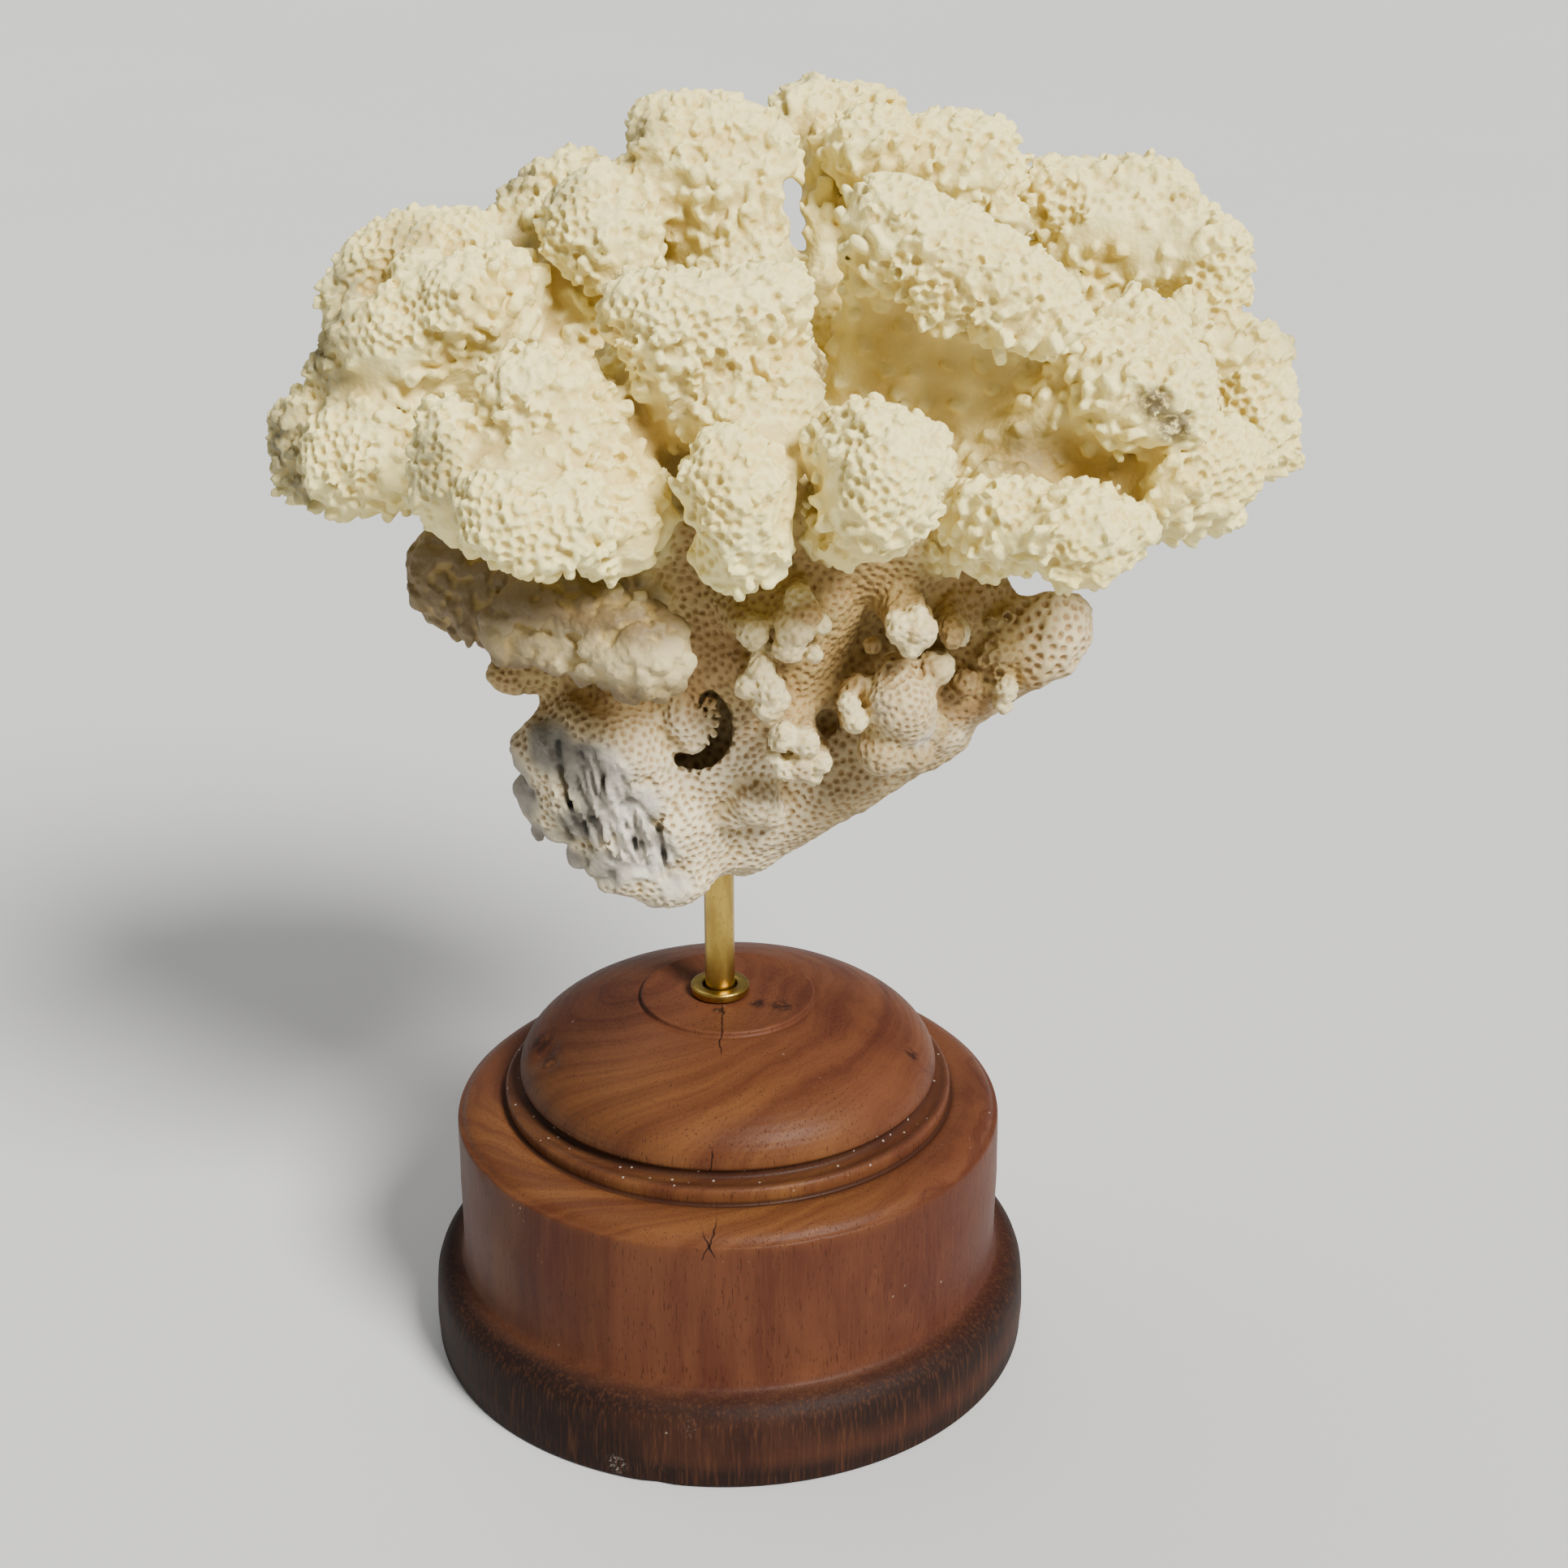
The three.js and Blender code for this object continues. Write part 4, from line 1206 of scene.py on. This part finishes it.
def coral_look(name):
    made, shader, place = material(name)
    shut, nook, pit, old, worn, edge, light, stain, dirt, ledge, grime, hollow, young = (
        place.node("Attribute", {"attribute_name": mark}, {}, "Fac")
        for mark in (
            "shut_in", "nook", "pit", "bare", "worn", "edge", "pale", "stain", "dirt", "ledge",
            "grime", "hollow", "young",
        )
    )
    patch = place.noise(0.06, 3)
    # Recesses are tan by how shut in they are: partly the coral's own tan, partly painted shade.
    recess_tan_and_shade = (shut + (patch - 0.5) * 0.1).step(0.5, 0.63) + hollow * 0.8
    recess_tan_and_shade = recess_tan_and_shade.math("MINIMUM", recess_tan_and_shade, 1.0) * (1 - light * 0.9)
    colour = recess_tan_and_shade.mix((0.89, 0.78, 0.34), (0.4, 0.28, 0.07))
    yellow = patch.step(0.48, 0.68) * 0.65
    colour = yellow.mix(colour, (0.85, 0.68, 0.23))
    height = place.axis("Z")
    # The trunk's own tan, painted darker on its upper part and to its right as painted shadow under
    # the fronds, and a paler tan lower down, most of all on the left.
    trunk_tan_and_shadow = place.noise(0.05, 3).step(0.4, 0.6).mix((0.42, 0.31, 0.115), (0.36, 0.22, 0.075))
    trunk_tan_and_shadow = (place.axis("X").step(8, 28) * 0.5).mix(trunk_tan_and_shadow, (0.24, 0.15, 0.05))
    low = place.axis("X").step(4, 24).mix((0.7, 0.6, 0.4), (0.36, 0.27, 0.14))
    trunk_tan_and_shadow = height.step(152, 130).mix(trunk_tan_and_shadow, low)
    trunk_tan_and_shadow = (light * 0.85).mix(trunk_tan_and_shadow, (0.78, 0.67, 0.44))
    # Painted shadow: the shelf is dark brown where the frond above shades it, and lighter at its
    # front lip.
    lit_lip = place.axis("Y").step(-32, -46) * height.step(171.5, 166.5) * height.step(159, 164) * 0.85
    # Painted shade, a grey brown, on the outermost left lobes.
    colour = (grime * place.noise(0.12, 3).step(0.1, 0.42) * 0.95).mix(colour, (0.14, 0.122, 0.07))
    colour = ledge.mix(colour, lit_lip.mix((0.165, 0.11, 0.045), (0.55, 0.45, 0.23)))
    rust = stain * place.noise(0.25, 3).step(0.15, 0.5)
    trunk_tan_and_shadow = (rust * 0.95).mix(trunk_tan_and_shadow, (0.25, 0.12, 0.03))
    # Painted shadow: the spots on the fronds, under the overhanging crests, are painted dark brown.
    colour = (stain * height.step(182, 188) * 0.85).mix(colour, (0.09, 0.055, 0.012))
    colour = (old * 0.92).mix(colour, trunk_tan_and_shadow)
    colour = (young * 0.85).mix(colour, (0.86, 0.78, 0.54))
    # Painted shade: the narrow crevices between the knobs are a darker tan.
    colour = (nook.step(0.45, 0.65) * 0.55).mix(colour, (0.52, 0.37, 0.12))
    # Painted shade in the cups: ochre on the fronds, dark brown on the bare trunk.
    cup_shade = pit * (old * 0.4 + 0.35) * (1 - ledge * 0.8)
    colour = cup_shade.mix(colour, old.mix((0.68, 0.52, 0.15), (0.26, 0.14, 0.04)))
    # The fibres of the break spread from a point beyond its upper left.
    fan_x, fan_z = place.axis("X") + 50, height - 149
    turn = fan_x.math("ARCTAN2", fan_z, fan_x) * 13
    away = (fan_x * fan_x + fan_z * fan_z) ** 0.5 * 0.07
    fibres = place.node("CombineXYZ", {}, {0: turn, 1: away, 2: patch * 2}).noise(1.0, 5, 0.65)
    ash = fibres.step(0.36, 0.66).mix((0.68, 0.63, 0.52), (0.38, 0.345, 0.28))
    # Painted shade: the break grows darker towards its left, away from the light.
    ash = (place.axis("X").step(-19, -27) * 0.8).mix(ash, (0.1, 0.09, 0.07))
    ash = edge.mix(ash, fibres.mix((0.16, 0.14, 0.11), (0.42, 0.38, 0.32)))
    # Painted shade: the crevices of the break, its cracks, are near black.
    ash = nook.step(0.5, 0.75).mix(ash, (0.03, 0.027, 0.022))
    colour = worn.mix(colour, ash)
    speckled = place.noise(0.8, 3, 0.7).step(0.36, 0.54)
    colour = (dirt * (speckled * 0.7 + 0.25)).mix(colour, (0.12, 0.085, 0.038))
    grain = place.noise(1.2, 4, 0.6) + worn * fibres
    facets = place.node("TexVoronoi", {}, {"Vector": place, "Scale": 0.85}, "Distance")
    finish_with(shader, colour, grain * 0.2 + 0.55, grain * 0.7 - facets * 0.6, 0.0005, 0.45)
    return made


coral = coral_look("coral")
old_coral = coral_look("old_coral")


def cut_out(name, look, share):
    """The piece of the colony that stands for one solid of the frame."""
    points = coral_meshes[name][0] - grid_low
    # The fine grid has a line on every second line of the coarse one, at either pitch.
    low = np.maximum(np.floor(points.min(0)) - 6, 0).astype(int) // 2 * 2
    high = (np.ceil(points.max(0)) + 7).astype(int) // 2 * 2
    high = np.minimum(high, (np.array(GRID) - 1) // 2 * 2)
    coarse = tuple(slice(a, b + 1) for a, b in zip(low, high))
    close = tuple(slice(round(a / FINE), round(b / FINE) + 1) for a, b in zip(low, high))
    rest = np.minimum.reduce([own[n][coarse] for n in CORAL if n != name])
    over = finer((own[name][coarse] - rest) / 2, 1 / FINE)
    field = np.maximum(fine[close] + 0.5 * np.maximum(over, 0), over - 1.0)
    field = np.pad(field, 1, constant_values=3.0)
    points, triangles, quads = surface_of(field, FINE, 0.03)
    points = points + low + grid_low - FINE
    made = mesh_object(name + "_growth", points / 1000, [triangles, quads], look)
    thin = made.modifiers.new("thin", "DECIMATE")
    thin.ratio = share
    settled = bpy.context.evaluated_depsgraph_get()
    thinned = bpy.data.meshes.new_from_object(made.evaluated_get(settled))
    made.modifiers.clear()
    made.data = thinned
    where = np.empty(len(thinned.vertices) * 3, np.float32)
    thinned.vertices.foreach_get("co", where)
    where = where.reshape(-1, 3) * 1000
    marks = {
        "shut_in": sampled(shut_in, where),
        "nook": sampled(close_in, where, HALF),
        "pit": np.clip(-sampled(plain, where, FINE) / 0.5, 0, 1),
        "bare": sampled(bare, where) * (1 - 0.85 * sampled(young, where)),
        "worn": sampled(np.maximum.reduce([broken, rough_edge, rubbed]), where),
        "edge": sampled(rough_edge, where),
        "ledge": sampled(shelf, where),
        "pale": sampled(pale, where),
        "stain": sampled(rust_and_frond_shadow, where),
        "dirt": sampled(dirty, where),
        "grime": sampled(left_lobe_shade_spots, where),
        "hollow": sampled(hollow_tan_and_shadow_spots, where),
        "young": sampled(young, where),
    }
    for key, values in marks.items():
        mark = thinned.attributes.new(key, "FLOAT", "POINT")
        mark.data.foreach_set("value", values.astype(np.float32))
    thinned.polygons.foreach_set("use_smooth", np.ones(len(thinned.polygons), bool))
    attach(made, "root")
    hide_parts(name)
    return made


# How many of its faces each piece keeps: fewer at the back, where the lobes are plain.
TRUNK_SHARE, FROND_SHARE, BACK_SHARE = 0.31, 0.33, 0.15
trunk = cut_out("trunk", old_coral, TRUNK_SHARE)
for n in CORAL:
    if n != "trunk":
        frond = cut_out(n, coral, BACK_SHARE if "back" in n else FROND_SHARE)
